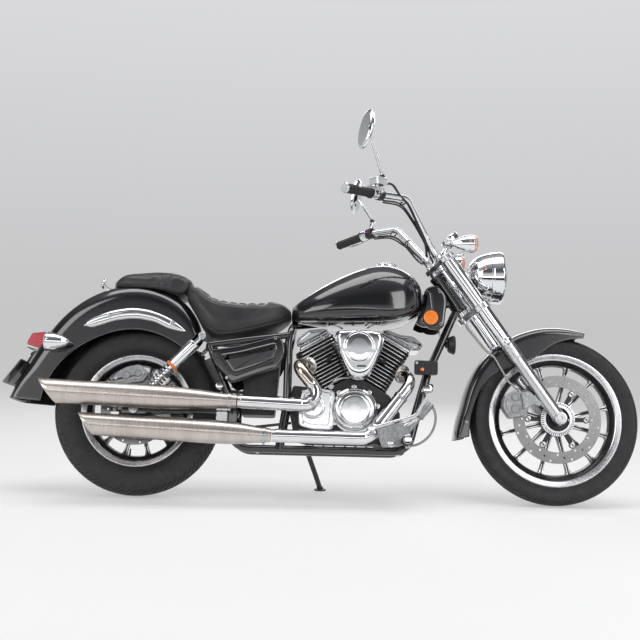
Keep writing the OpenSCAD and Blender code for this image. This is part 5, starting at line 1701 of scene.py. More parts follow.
# rocker covers: chrome boxes with a raised lid and bolts
a = Acc()
for outline, rib in (([(587, 551), (692, 612), (684, 624), (664, 624), (618, 617), (580, 586), (574, 568)], [(604, 578), (676, 617)]),
                     ([(888, 612), (993, 551), (1028, 552), (1040, 574), (1004, 603), (955, 608), (914, 624), (894, 624)], [(912, 616), (1008, 574)])):
    P = soft_poly(outline, 6, 4)
    a.add(prism(P, -64, 64, 2), 0)
    for sgn in (-1, 1):
        a.add(prism(inset(P if poly_area(P) > 0 else P[::-1], 4), 63 if sgn > 0 else -67.5, 67.5 if sgn > 0 else -63, 2.4), 0)
        a.add(prism(inset(P if poly_area(P) > 0 else P[::-1], 10), 66 if sgn > 0 else -70, 70 if sgn > 0 else -66, 3), 0)
        q0, q1 = V(rib[0][0], 0, rib[0][1]), V(rib[1][0], 0, rib[1][1])
        for t in (0.18, 0.82):
            c = q0 + (q1 - q0) * t
            a.add(capbolt((c[0], sgn * 69.8, c[2] - 14), (0, sgn, 0), 5, 4), 1)
a.make("rocker_boxes", "frame", [CHROME, STEEL], angle=35, replaces=["rocker_covers"], slot="chrome")

# air cleaner cover: shouldered chrome shell with a round centre
AC = [(714, 586), (722, 532), (746, 472), (766, 438), (788, 427), (816, 427), (838, 440), (857, 474), (882, 532), (891, 582), (882, 599), (844, 606), (786, 607), (722, 602)]
P = soft_poly(AC, 16, 6)
c0 = V(800, 530)
rings = []
for s, y in ((0.965, -128.4), (1.0, -133), (1.008, -136), (1.008, -152), (1.0, -156), (0.97, -159), (0.965, -162), (0.955, -176), (0.93, -184.5), (0.88, -189.5), (0.80, -192), (0.70, -192.6), (0.50, -192.8), (0.25, -193), (0.02, -193)):
    rings.append([(c0[0] + (x - c0[0]) * s, y, c0[1] + (z - c0[1]) * s) for x, z in P])
a = Acc()
vf = loft(rings)
a.add(vf, 0)
a.add(lathe((800, -190, 541), (0, -1, 0), [(0, 0), (58, 0), (57, 4.5), (54, 6), (50, 6.4), (49, 7.6), (46, 9.0), (30, 10.4), (0, 11)], 96, 1.0), 0)
# a black plastic slab standing in for the shade inside a small slot under the centre (painted shade), and side screws
a.add(prism(soft_poly([(792, 469), (826, 469), (825, 475), (793, 475)], 2.4, 3), -193.4, -190, 0.3), 2)
for x, z in ((735, 578), (866, 578)):
    a.add(capbolt((x, -186, z), (0, -1, 0), 5, 4), 1)
a.make("air_cleaner", "frame", [CHROME, STEEL, PLASTIC], angle=50, replaces=["air_cleaner_cover"], slot="chrome")

# crankcase with ribs and sump fins
a = Acc()
P = soft_poly([(577, 215), (620, 204), (905, 204), (934, 232), (938, 340), (918, 379), (790, 453), (676, 388), (640, 402), (566, 408), (552, 330)], 12, 4)
a.add(prism(P, -95, 95, 3), 0)
a.add(prism(soft_poly([(934, 240), (958, 262), (958, 320), (936, 345)], 6, 3), -60, 60, 3), 0)
for k in range(7):
    x = 640 + 40 * k
    a.add(prism(soft_poly([(x, 199.5), (x + 7, 199.5), (x + 7, 214), (x, 214)], 2, 2), -84, 84, 1), 0)
for k in range(5):
    z = 250 + 18 * k
    for sgn in (-1, 1):
        a.add(prism(soft_poly([(905, z), (940, z + 2), (940, z + 6), (905, z + 5)], 1.5, 2), sgn * 60 if sgn > 0 else -94, sgn * 94 if sgn > 0 else -60, 1), 0)
a.make("crankcase_castings", "frame", [ENGINE], angle=35, replaces=["crankcase"], slot="engine_black")


def cover_bolts(acc, cx, cz, r, y, n, first=0, size=5.0, mat=1):
    for k in range(n):
        t = math.radians(first + 360 * k / n)
        s = 1 if y > 0 else -1
        c = (cx + r * math.cos(t), y, cz + r * math.sin(t))
        acc.add(lathe((c[0], y - s * 14, c[2]), (0, s, 0), [(0, 0), (10.5, 0), (9.5, 14), (7.5, 14.8), (0, 14.8)], 16, 0.8), 0)
        acc.add(capbolt((c[0], y + s * 0.4, c[2]), (0, s, 0), size, 4), mat)


a = Acc()
# right clutch cover: stepped chrome rounds with a cap
a.add(lathe((CX, -95.3, CZ), (0, -1, 0), [(0, 0), (86, 0), (87, 3), (85, 22), (82, 29), (76, 33), (74, 34), (73, 40), (69, 46.5), (63, 49), (58, 50), (54, 50.6), (52.5, 52.8), (47, 54.2), (20, 54.9), (0, 55)], 80, 1.6), 0)
cover_bolts(a, CX, CZ, 84, -121, 9, 12)
a.add(prism(soft_poly([(592, 262), (640, 250), (712, 250), (724, 320), (716, 392), (662, 400), (600, 392), (584, 330)], 14, 5), -124, -95.3, 4), 0)
a.add(prism(soft_poly([(604, 276), (642, 264), (700, 264), (706, 380), (662, 388), (610, 380), (598, 330)], 14, 5), -129, -120, 3), 0)
a.add(lathe((640, -127, 330), (0, -1, 0), [(0, 0), (45, 0), (44, 4), (40, 6), (36, 6.6), (34, 8), (0, 8.6)], 72, 1.0), 0)
for x, z in ((606, 272), (604, 384), (706, 258), (704, 386)):
    a.add(capbolt((x, -124, z), (0, -1, 0), 5, 4), 1)
# left generator cover and sprocket cover
a.add(lathe((CX, 95.3, CZ), (0, 1, 0), [(0, 0), (89, 0), (90, 3), (87, 22), (83, 27), (78, 28), (76, 36), (68, 41), (62, 42), (30, 43.6), (0, 44)], 64, 1.6), 0)
cover_bolts(a, CX, CZ, 86, 117, 9, 32)
a.add(lathe((CX, 139, CZ), (0, 1, 0), [(0, 0), (14, 0), (14, 3), (11, 4.4), (11, 2.4), (0, 2.4)], 36, 0.5), 1)
a.add(prism(soft_poly([(575, 262), (640, 240), (704, 250), (712, 392), (662, 400), (590, 396), (566, 330)], 14, 5), 95.3, 120, 4), 0)
a.add(lathe((636, 118, 330), (0, 1, 0), [(0, 0), (46, 0), (45, 6), (41, 9), (30, 10), (0, 10.6)], 72, 1.0), 0)
for x, z in ((590, 270), (586, 384), (694, 262), (698, 384)):
    a.add(capbolt((x, 120, z), (0, 1, 0), 5, 4), 1)
a.make("engine_side_covers", "frame", [CHROME_SOFT, STEEL], angle=30, replaces=["engine_covers"], slot="alloy")

# intake, hoses, plug leads and oil lines
a = Acc()
a.add(prism(soft_poly([(770, 500), (812, 500), (816, 560), (766, 560)], 6, 3), -118, -60, 2), 0)
a.add(prism(soft_poly([(752, 520), (828, 520), (832, 585), (748, 585)], 8, 3), -60, 60, 3), 0)
a.add(prism(soft_poly([(728, 590), (724, 556), (752, 470), (772, 440), (812, 434), (832, 446), (852, 480), (878, 536), (882, 586), (840, 600), (780, 600)], 12, 4), -128, -118.2, 2), 0)
a.make("intake_box", "frame", [PLASTIC], angle=35, replaces=["intake"], slot="black_plastic")
a = Acc()
for pts in ([(896, -86, 500), (880, -112, 506), (866, -124, 560), (846, -60, 612), (830, -20, 628)], [(690, -86, 500), (706, -108, 520), (730, -96, 566), (758, -50, 600), (786, -20, 625)],
            [(900, 86, 500), (892, 112, 520), (870, 100, 590), (842, 40, 630)], [(684, 86, 500), (690, 112, 524), (716, 100, 590), (744, 40, 630)]):
    a.add(sweep(spline(pts, 12), 3.6, 14), 0)
    a.add(rod(pts[0], V(*pts[0]) + unit(V(*pts[1]) - V(*pts[0])) * 26, 9, 6.5, 20, 1.2), 0)
# crankcase breather and oil line with union bolts on the right
a.add(sweep(spline([(700, -100, 410), (720, -118, 428), (766, -108, 440), (800, -100, 436)], 10), 4.2, 14), 1)
a.add(hexbolt((704, -99, 408), (0, -1, 0), 7, 6), 1)
a.make("plug_leads", "frame", [HOSE, STEEL], angle=45)

# regulator box with its small orange lamp, horn
a = Acc()
a.add(prism(soft_poly([(1009, 462), (1093, 462), (1093, 512), (1009, 514)], 7, 4), -82, -50, 3), 0)
for k in range(6):
    a.add(prism(soft_poly([(1020 + 12 * k, 466), (1024 + 12 * k, 466), (1024 + 12 * k, 509), (1020 + 12 * k, 509)], 1, 2), -84.4, -81.5, 0.6), 0)
a.add(lathe((1036, -82.6, 480), (0, -1, 0), [(0, 0), (6.5, 0), (6.5, 1.6), (4, 2.6), (0, 2.8)], 20, 0.4), 1)
a.add(hexbolt((1016, -82, 505), (0, -1, 0), 4, 3), 2)
a.make("regulator", "frame", [PLASTIC, AMBER, STEEL], angle=35, replaces=["regulator_box"], slot="black_plastic")
a = Acc()
a.add(lathe((1139, 0, 585), (1, 0, 0), [(0, 0), (24, 0), (29, 4), (33, 14), (35.5, 18), (36, 22), (34, 26), (31, 27), (30, 24.4), (24, 23.6), (22, 25.6), (18, 23.6), (14, 25.8), (10, 24), (8, 27.4), (0, 27.6)], 72, 0.6), 0)
a.add(lathe((1139, 0, 585), (-1, 0, 0), [(0, 0), (14, 0), (12, 8), (5, 10), (5, 16), (0, 16)], 40, 0.8), 0)
a.add(sweep(bend([(1128, 0, 585), (1112, 0, 600), (1106, 0, 640)], 8, 5), 1.0, prof=[(1.5, -10), (1.5, 10), (-1.5, 10), (-1.5, -10)]), 1)
a.make("horn_unit", "frame", [PLASTIC, STEEL], angle=35, replaces=["horn"], slot="black_plastic")

# ------------------------------------------------------------------ exhaust
a = Acc()
fp = bend([(962, -70, 462), (1004, -122, 438), (838, -180, 218), (498, -200, 219)], 58, 16)
rp = bend([(622, -70, 482), (574, -170, 478), (704, -186, 326), (376, -200, 335)], 44, 16)
for path in (fp, rp):
    a.add(sweep(path, 21.5, 36), 0)
    d = unit(path[1] - path[0])
    a.add(lathe(path[0] - d * 2, d, [(20, 0), (33, 0), (34, 2), (34, 7), (32, 9), (22, 10)], 48, 0.8), 1)
    for s in (-1, 1):
        q = path[0] + np.cross(d, V(0, 0, 1)) * 0 + V(0, 0, 1) * s * 28
        a.add(hexbolt(q + d * 7, d, 5, 6), 1)
# bright shields over the pipes, as on the photographed bends: long sleeves with clamps
def band(path, t0, t1, r, acc, mat=0, n=36):
    seg = np.linalg.norm(np.diff(path, axis=0), axis=1)
    s = np.concatenate([[0], np.cumsum(seg)]) / seg.sum()
    ts = np.linspace(t0, t1, max(4, int((t1 - t0) * 90)))
    P = np.array([[np.interp(t, s, path[:, i]) for i in range(3)] for t in ts])
    rr = np.full(len(P), float(r)); rr[0] = rr[-1] = r - 1.6
    acc.add(sweep(P, rr, n), mat)
band(fp, 0.20, 0.42, 23.6, a)
band(fp, 0.50, 0.985, 23.4, a)
band(rp, 0.10, 0.36, 23.6, a)
band(rp, 0.56, 0.98, 23.4, a)
def clamp_ring(path, t, r, acc, mat=1):
    seg = np.linalg.norm(np.diff(path, axis=0), axis=1)
    s = np.concatenate([[0], np.cumsum(seg)]) / seg.sum()
    f = lambda q: V(*[np.interp(q, s, path[:, i]) for i in range(3)])
    p, d = f(t), unit(f(t + 0.01) - f(t - 0.01))
    acc.add(lathe(p - d * 5, d, [(r - 1.5, 0), (r, 0.6), (r, 9.4), (r - 1.5, 10)], 48, 0.4), mat)
    acc.add(rod(p + V(0, -r - 2, -8), p + V(0, -r - 2, 8), 3.4, None, 16, 0.6), mat)
for path, t in ((fp, 0.205), (fp, 0.46), (rp, 0.105), (rp, 0.5)):
    clamp_ring(path, t, 25.2, a)
a.make("exhaust_headers", "frame", [PIPE, STEEL], angle=40, replaces=["exhaust_pipes"], slot="chrome")


def muffler(tail, head, prof, cut, depth, acc, n=64):
    """cut: ((x, z), (x, z)) line of the slash in X and Z."""
    tail, head = V(*tail), V(*head)
    d = unit(head - tail)
    l = np.linalg.norm(head - tail)
    m = axes(tail, d, (0, 1, 0))
    ex, ey = m[:3, 0], m[:3, 1]
    (x0, z0), (x1, z1) = cut
    nrm = unit(V(z1 - z0, 0, -(x1 - x0)))

    def slash(r):
        out = []
        for k in range(n):
            t = 2 * math.pi * k / n
            o = tail + ex * r * math.cos(t) + ey * r * math.sin(t)
            s = np.dot(V(x0, 0, z0) - o, nrm) / np.dot(d, nrm)
            out.append(o + d * s)
        return np.array(out)

    def flat(s, r):
        c = tail + d * s
        return np.array([c + ex * r * math.cos(2 * math.pi * k / n) + ey * r * math.sin(2 * math.pi * k / n) for k in range(n)])
    r0 = prof[0][1]
    P = spline([(a_ * l, b_) for a_, b_ in prof], 10)
    rings = [flat(depth, 0.5), flat(depth, r0 - 3.2), slash(r0 - 3.2), slash(r0 - 2.6) - d * 1.0, slash(r0 - 1.4) - d * 1.6, slash(r0 - 0.4) - d * 1.1, slash(r0)]
    s_edge = max(np.dot(q - tail, d) for q in slash(r0))
    for f in (0.25, 0.5, 0.75, 1.0):
        base = slash(r0)
        tgt = flat(s_edge + 14, np.interp(s_edge + 14, P[:, 0], P[:, 1]))
        rings.append(base * (1 - f) + tgt * f)
    for s, r in P:
        if s > s_edge + 20:
            rings.append(flat(s, r))
    rings.append(flat(l, prof[-1][1] - 4))
    vv, ff = loft(rings, True, True)
    ff = [tuple(reversed(q)) for q in ff]
    mi = []
    for i in range(len(rings) - 1):
        mi += [1 if i < 2 else 0] * n
    mi += [1, 0]
    acc.add((vv, ff, mi))


a = Acc()
muffler((-340, -200, 359), (373.6, -200, 335), [(0, 42), (0.2, 42), (0.4, 42), (0.6, 42), (0.7, 39.5), (0.82, 34), (0.92, 27), (1, 24)], ((-337, 415), (-258, 313)), 150, a)
muffler((-200, -200, 247), (495.6, -200, 219), [(0, 38.5), (0.32, 39.5), (0.5, 41.4), (0.62, 42), (0.74, 40.5), (0.84, 37), (0.93, 29), (1, 23.5)], ((-181, 290), (-121, 204)), 112, a)
a.add(prism(soft_poly([(300, 302), (344, 302), (350, 340), (300, 345)], 5, 3), -183, -150, 2), 2)
a.add(prism(soft_poly([(296, 230), (340, 230), (340, 302), (300, 302)], 5, 3), -167, -150, 2), 2)
for s0, s1, (tl, hd), r in ((0.955, 0.985, ((-340, -200, 359), (373.6, -200, 335)), 28), (0.955, 0.985, ((-200, -200, 247), (495.6, -200, 219)), 28)):
    tl, hd = V(*tl), V(*hd)
    d = unit(hd - tl); l = np.linalg.norm(hd - tl)
    a.add(lathe(tl + d * l * s0, d, [(r - 3, 0), (r, 0.8), (r, 13), (r - 3, 14)], 56, 0.5), 2)
    a.add(rod(tl + d * (l * s0 + 7) + V(0, -4, -r - 3), tl + d * (l * s0 + 7) + V(0, 12, -r - 3), 4, None, 18, 0.6), 2)
a.make("muffler_pair", "frame", [STAINLESS, INNER, STEEL], angle=35, replaces=["mufflers"], slot="stainless")

# ------------------------------------------------------------------ frame, swingarm, shocks
ZR, ZF = 308.66, 310.93
RAKE = math.radians(35)


def stem(t):
    return V(1530 - math.sin(RAKE) * t - math.cos(RAKE) * 50, 0, 310.93 + math.cos(RAKE) * t - math.sin(RAKE) * 50)


def my(pts):
    return [(p[0], -p[1], p[2]) for p in pts]


a = Acc()
a.add(lathe(stem(520), unit(stem(688) - stem(520)), [(21, 0), (28, 0), (30, 2), (30, 14), (28.4, 18), (28.4, 150), (30, 154), (30, 166), (28, 168), (21, 168)], 64, 1.0), 0)
a.add(sweep(bend([(1150, 0, 748), (930, 0, 690), (566, 0, 648)], 200, 12), 20, 36), 0)
for pts, r, br in (([(1166, 15, 706), (1062, 34, 470), (984, 90, 178), (345, 90, 178), (345, 112, 262)], 14, 70), ([(566, 0, 648), (556, 100, 612), (545, 116, 560), (545, 116, 340), (520, 98, 178)], 13, 40),
                   ([(550, 108, 590), (400, 124, 566), (262, 122, 545)], 12, 60), ([(345, 126, 340), (300, 126, 440), (262, 122, 545)], 12, 60)):
    for p in (pts, my(pts)):
        a.add(sweep(bend(p, br, 10), r, 28), 0)
for s in (-1, 1):
    lo, hi = sorted((s * 126, s * 134))
    a.add(prism(soft_poly([(321, 262), (369, 262), (371, 338), (319, 338)], 16, 5), lo, hi, 1.5), 0)
    a.add(prism(soft_poly([(327, 312), (390, 346), (372, 376), (330, 340)], 12, 4), lo, hi, 1.5), 0)
    lo, hi = sorted((s * 112, s * 121))
    a.add(prism(soft_poly([(222, 562), (250, 556), (276, 532), (280, 556), (250, 592), (224, 590)], 9, 4), lo, hi, 1.5), 0)
    a.add(ycyl(236, 575, *sorted((s * 118, s * 152)), 6), 1)
    a.add(lathe((236, s * 149.4, 575), (0, s, 0), [(0, 0), (12, 0), (12, 2), (9, 2.2), (9, 6), (7, 7.6), (0, 7.6)], 32, 0.6), 1)
for x in (440, 960):
    a.add(rod((x, -90, 178), (x, 90, 178), 12, None, 28, 1), 0)
a.add(prism(soft_poly([(590, 178), (650, 178), (640, 203), (604, 203)], 5, 3), 90, 112, 2), 0)
a.add(prism(soft_poly([(895, 176), (972, 176), (972, 202), (895, 202)], 6, 3), 84, 96, 2), 0)
a.make("frame_tubes", "frame", [GLOSS, STEEL], angle=40, replaces=["main_frame"], slot="frame_paint")

a = Acc()
for s in (-1, 1):
    y = s * 108
    a.add(lathe((345, s * 60, 312), (0, s, 0), [(0, 0), (18, 0), (19, 1.4), (19, 59), (17, 60.6), (0, 60.6)], 48, 0.8), 0)
    a.add(rod((345, y, 312), (30, y, ZR), 14, None, 32, 1), 0)
    lo, hi = sorted((s * 96, s * 121))
    P = soft_poly([(-44, ZR - 17), (40, ZR - 19), (60, ZR), (40, ZR + 19), (10, ZR + 22), (-44, ZR + 15)], 7, 4)
    a.add(prism(P, lo, hi, 2.4), 0)
    lo, hi = sorted((s * 110, s * 121))
    a.add(prism(soft_poly([(-6, ZR + 10), (50, ZR + 10), (38, 362), (14, 362)], 5, 3), lo, hi, 2), 0)
    a.add(ycyl(26, 350, *sorted((s * 118, s * 150)), 6), 1)
    a.add(lathe((26, s * 148, 350), (0, s, 0), [(0, 0), (11, 0), (11, 2), (8.5, 2.2), (8.5, 6), (6.5, 7.4), (0, 7.4)], 32, 0.6), 1)
    a.add(hexbolt((-44.5, y, ZR), (-1, 0, 0), 5.5, 12), 1)
    for k in range(5):
        a.add(prism(soft_poly([(-30 + 7 * k, ZR + 9), (-29 + 7 * k, ZR + 9), (-29 + 7 * k, ZR + 13), (-30 + 7 * k, ZR + 13)], 0.2, 2), *sorted((s * 120.6, s * 121.2)), 0.1), 1)
a.make("swingarm_tubes", "frame", [GLOSS, STEEL], angle=40, replaces=["swingarm"], slot="frame_paint")

# shocks: chrome shroud, orange collar, wound spring over a polished rod
a = Acc()
for s in (-1, 1):
    A_, B_ = V(26, s * 137, 350), V(236, s * 137, 575)
    u = unit(B_ - A_)
    L_ = np.linalg.norm(B_ - A_)
    for q, r in ((A_, 13), (B_, 14)):
        a.add(lathe(V(q[0], s * 124, q[2]), (0, s, 0), [(0, 0), (r - 2, 0), (r, 2), (r, 23), (r - 2, 25), (0, 25)], 40, 0.8), 0)
        a.add(lathe(V(q[0], s * 124.2, q[2]), (0, s, 0), [(0, 24), (r - 4, 24), (r - 4, 25.4), (0, 25.4)], 36, 0.3), 2)
    a.add(lathe(A_, u, [(0, 6), (11.5, 6), (12, 8), (12, 36), (22, 38), (24, 40), (24, 43), (22, 45), (0, 45)], 56, 0.8), 0)
    a.add(lathe(A_, u, [(0, 40), (9, 40), (9, L_ - 12), (0, L_ - 12)], 36, 0.5), 0)
    m = axes(A_ + u * 46, u, (0, 1, 0))
    turns, span, per = 7.2, 104.0, 18
    n = int(turns * per)
    pts = []
    for k in range(n + 1):
        t = k / n
        ph = 2 * math.pi * turns * t
        h = 3 + (span - 6) * (0.08 * t + 0.92 * t)
        pts.append((20 * math.cos(ph), 20 * math.sin(ph), h))
    a.add(moved(sweep(np.array(pts), 3.1, 9), m), 1)
    a.add(lathe(A_, u, [(9, 150), (22, 150), (24, 151.4), (24, 158), (22.6, 160), (9, 160)], 56, 0.8), 3)
    a.add(lathe(A_, u, [(9, 160), (21, 160), (22.4, 161.6), (22.5, L_ - 46), (21.4, L_ - 39), (18, L_ - 36.4), (9, L_ - 36)], 64, 1.2), 0)
    for k in range(2):
        a.add(lathe(A_, u, [(21, 172 + 9 * k), (22.9, 173 + 9 * k), (22.9, 175 + 9 * k), (21, 176 + 9 * k)], 64, 0.3), 0)
a.make("shock_units", "frame", [CHROME, SPRING, RUBBER, ORANGE_M], angle=35, replaces=["shocks"], slot="chrome")

# side stand: forged arm and worn foot
SP, FT = V(620, 128, 190), V(676, 222, 39.14)
E1 = unit(V(676, 218, 49.14) - SP)
E3 = unit(np.cross(E1, V(-1, 0.12, 0.06)))
E2 = np.cross(E3, E1)
m = np.eye(4)
m[:3, 0], m[:3, 1], m[:3, 2], m[:3, 3] = E1, E2, E3, SP
a = Acc()
a.add(moved(lathe((0, 0, -8), (0, 0, 1), [(6.4, 0), (14, 0), (15, 1.4), (15, 14.6), (14, 16), (6.4, 16)], 44, 0.5), m), 0)
a.add(moved(prism(soft_poly([(9, -6), (37, -5), (37, 6), (9, 6)], 3, 3), -7, 7, 2), m), 0)
path = np.array([SP + E1 * 22, SP + E1 * 60, (SP + E1 * 110), FT + V(-1, -2, 10)])
a.add(sweep(spline(path, 8), 9.6, 30), 0)
a.add(lathe(FT + V(0, -0.035, 0.2), (0, -0.17365, 0.98481), [(0, 0), (21, 0), (23, 1), (23.4, 3), (22.4, 5), (18, 6), (0, 6.4)], 48, 0.5), 0)
a.add(lathe(FT + V(0, 0, 5), unit(SP - FT), [(0, 0), (14, 0), (12, 6), (10, 12), (0, 13)], 36, 0.8), 0)
sidestand = a.make("stand_arm", "side_stand_arm", [BLACK], angle=40, replaces=["side_stand"], slot="frame_paint")

# foot controls
a = Acc()
for s in (-1, 1):
    lo, hi = sorted((s * 194, s * 204))
    P = soft_poly([(862, 252), (930, 274), (966, 276), (990, 222), (972, 200), (930, 190), (884, 186)], 9, 4)
    a.add(prism(P, lo, hi, 2), 0)
    for k in range(4):
        q = V(884 + 17 * k, 0, 214 + 4 * k)
        a.add(prism(soft_poly([(q[0], q[2]), (q[0] + 5, q[2]), (q[0] + 9, q[2] + 36), (q[0] + 4, q[2] + 36)], 1.4, 2), *sorted((s * 202.5, s * 206)), 0.8), 0)
    a.add(rod((950, s * 96.3, 214), (950, s * 196, 232), 12, None, 32, 1), 0)
    for x, z in ((916, 202), (972, 214)):
        a.add(lathe((x, s * 203, z), (0, s, 0), [(0, 0), (13, 0), (14, 1), (14, 5), (12, 7.4), (7, 8.2), (6.4, 6.4), (0, 6.2)], 40, 0.5), 1)
a.make("foot_brackets", "frame", [ALLOY, CHROME_SOFT], angle=35, replaces=["foot_controls"], slot="black_plastic")
a = Acc()
a.add(sweep(bend([(846, -212, 252), (1000, -212, 298), (1036, -212, 362)], 40, 10), 7, 26), 0)
a.add(rod((1036, -262, 388), (1036, -204, 388), 16, None, 36, 1.4), 0)
a.add(rod((1004, -204, 292), (960, -196, 262), 8, None, 24, 1), 0)
a.add(lathe((846, -221, 252), (0, 1, 0), [(0, 0), (12, 0), (13, 1.6), (13, 16), (12, 17.6), (0, 17.6)], 36, 0.5), 0)
a.add(prism(soft_poly([(1022, 372), (1054, 380), (1056, 404), (1044, 408), (1020, 398)], 5, 4), -260, -206, 2), 1)
for k in range(6):
    y = -256 + 9 * k
    a.add(rod((1050, y, 396), (1032, y, 404), 2.0, None, 10, 0.4), 1)
a.add(rod((1020, -140, 300), (1062, -140, 350), 14, None, 36, 1.4), 2)
a.add(rod((1020, -140, 300), (958, -140, 224), 10, None, 28, 1.2), 2)
a.add(lathe((1020, -140, 300), unit(V(42, 0, 50)), [(14, 0), (16, 1), (16, 5), (14, 6)], 36, 0.4), 2)
a.make("brake_pedal", "frame", [CHROME_SOFT, RUBBER, ALLOY], angle=40, replaces=["foot_controls"], slot="chrome")
a = Acc()
a.add(sweep(bend([(900, 211, 250), (1000, 211, 262), (1040, 211, 300)], 30, 10), 6.5, 24), 0)
a.add(rod((1040, 205, 302), (1040, 262, 302), 10.4, None, 30, 1.4), 1)
for k in range(5):
    a.add(lathe((1040, 214 + 10 * k, 302), (0, 1, 0), [(9, 0), (11.4, 0.8), (11.4, 3), (9, 3.8)], 28, 0.3), 1)
a.add(lathe((900, 202, 250), (0, 1, 0), [(0, 0), (11, 0), (12, 1.5), (12, 15), (11, 16.5), (0, 16.5)], 32, 0.5), 0)
a.make("shift_pedal", "frame", [CHROME_SOFT, RUBBER], angle=40, replaces=["foot_controls"], slot="chrome")
a = Acc()
for s in (-1, 1):
    a.add(lathe((964, s * 208, 210), (0, s, 0), [(0, 0), (9, 0), (10, 1), (10, 8), (14, 10), (15, 12), (15, 100), (16, 102), (16, 110), (13, 114), (0, 114)], 40, 0.8), 0)
    for k in range(8):
        a.add(lathe((964, s * (222 + 11 * k), 210), (0, s, 0), [(14, 0), (16.2, 1), (16.2, 5.4), (14, 6.4)], 22, 0.4), 0)
    a.add(lathe((964, s * 316, 210), (0, s, 0), [(0, 0), (15.8, 0), (15.8, 3), (12, 6), (0, 6.2)], 40, 0.5), 1)
a.make("rider_footpegs", "frame", [RUBBER, CHROME], angle=35, replaces=["rider_pegs"], slot="rubber")
a = Acc()
for s in (-1, 1):
    a.add(ycyl(306, 392, *sorted((s * 138.6, s * 164)), 12), 1)
    p, q = V(306, s * 150, 396), V(258, s * 158, 486)
    u = unit(q - p)
    a.add(rod(p, q, 13.6, None, 36, 1.8), 0)
    for k in range(6):
        a.add(lathe(p + u * (18 + 11 * k), u, [(13, 0), (14.6, 1), (14.6, 5), (13, 6)], 22, 0.4), 0)
    a.add(lathe(p + u * 96, u, [(0, 0), (13, 0), (12, 3), (0, 4)], 36, 0.4), 1)
a.make("passenger_footpegs", "frame", [RUBBER, CHROME_SOFT], angle=35, replaces=["passenger_pegs"], slot="rubber")

# battery box with a lid and strap
a = Acc()
a.add(prism(soft_poly([(378, 300), (500, 300), (520, 560), (396, 548)], 10, 4), -70, 70, 3), 0)
for s in (-1, 1):
    lo, hi = sorted((s * 69, s * 71.6))
    a.add(prism(soft_poly([(402, 330), (484, 330), (498, 520), (412, 514)], 8, 4), lo, hi, 1), 0)
a.add(prism(soft_poly([(382, 420), (508, 420), (509, 436), (383, 436)], 3, 3), -71.4, 71.4, 1), 1)
a.make("battery_case", "frame", [PLASTIC, RUBBER], angle=35, replaces=["battery_box"], slot="black_plastic")

# chain guards
a = Acc()
a.add(prism(soft_poly([(16, ZR + 94), (60, ZR + 96), (300, 396), (540, 372), (540, 382), (300, 408), (60, ZR + 108), (16, ZR + 106)], 3, 3), 74.4, 89.6, 1.4), 0)
a.add(prism(soft_poly([(100, 218), (560, 280), (560, 290), (100, 230)], 3, 3), 76, 84, 1.4), 0)
a.make("chain_guards", "frame", [BLACK], angle=35, replaces=["chain_guard"], slot="frame_paint")

# rear caliper
def caliper(name, pts, y0, y1, body, inner, extra=(), pistons=()):
    a = Acc()
    P = soft_poly(pts, 10, 5)
    mid = (y0 + y1) / 2
    a.add(prism(P, y0, mid - 4, 3), 0)
    a.add(prism(P, mid + 4, y1, 3), 0)
    Q = inset(P if poly_area(P) > 0 else P[::-1], 10)
    a.add(prism(Q, y0 - 2.4, y0 + 2, 1.4), 0)
    c = np.asarray(P).mean(0)
    for x, z, r in pistons:
        a.add(lathe((x, y0 + 2, z), (0, -1, 0), [(0, 0), (r, 0), (r, 5), (r - 2, 7), (r - 5, 7.4), (r - 6, 5.8), (0, 5.8)], 44, 0.5), 0)
    for x, z in extra:
        a.add(capbolt((x, y0 - 1, z), (0, -1, 0), 6, 6), 1)
    a.add(prism(inset(P if poly_area(P) > 0 else P[::-1], 14), mid - 4.2, mid + 4.2, 0.4), 2)
    return a.make(name, body, [ALLOY, STEEL, PLASTIC], angle=35, replaces=["rear_caliper"], slot="alloy")
caliper("caliper_rear", [(-98, 408), (-72, 442), (-40, 462), (8, 472), (44, 440), (24, 408), (-30, 400), (-60, 392)], -96, -52, "frame", None, [(-74, 418), (24, 440)], [(-38, 432, 17), (4, 440, 15)])

# ------------------------------------------------------------------ fork
def fork_m(y=0.0, o=(0, 0, 0)):
    m = np.eye(4)
    m[:3, 0], m[:3, 1], m[:3, 2] = V(math.cos(RAKE), 0, math.sin(RAKE)), V(0, 1, 0), V(-math.sin(RAKE), 0, math.cos(RAKE))
    m[:3, 3] = V(1530, 0, ZF) + m[:3, 1] * y
    return m


a = Acc()
for s in (-1, 1):
    m = fork_m(s * 100)
    a.add(moved(lathe((0, 0, 0), (0, 0, 1), [(0, 325), (24, 325), (26.6, 327), (27, 330), (27, 342), (26, 344), (26, 352), (27, 354), (27, 698), (26, 700), (24, 702), (24, 716), (22, 720), (17, 721), (17, 725), (14, 726), (0, 726)], 56, 1.4), m), 0)
a.make("fork_shrouds", "fork", [CHROME], angle=35, replaces=["fork_covers"], slot="chrome")
a = Acc()
for s in (-1, 1):
    m = fork_m(s * 100)
    a.add(moved(lathe((0, 0, 0), (0, 0, 1), [(0, -22), (14, -22), (18, -20), (19, -12), (23, -4), (24, 10), (23, 30), (23, 250), (24, 262), (25.5, 268), (25.5, 300), (25, 302), (25.5, 304), (25.5, 318), (24.6, 324.6), (0, 324.6)], 48, 1.6), m), 0)
    a.add(lathe((1530, s * 77, ZF), (0, s, 0), [(0, 0), (22, 0), (23, 2), (23, 44), (21.6, 47), (0, 47)], 56, 1.0), 0)
    a.add(hexbolt(V(1530, s * 100, ZF) - V(-math.sin(RAKE), 0, math.cos(RAKE)) * 14 + V(22, 0, 6), (1, 0, 0), 4, 4), 1)
a.make("fork_lowers", "fork", [SLIDER, STEEL], angle=35, replaces=["fork_sliders"], slot="alloy")

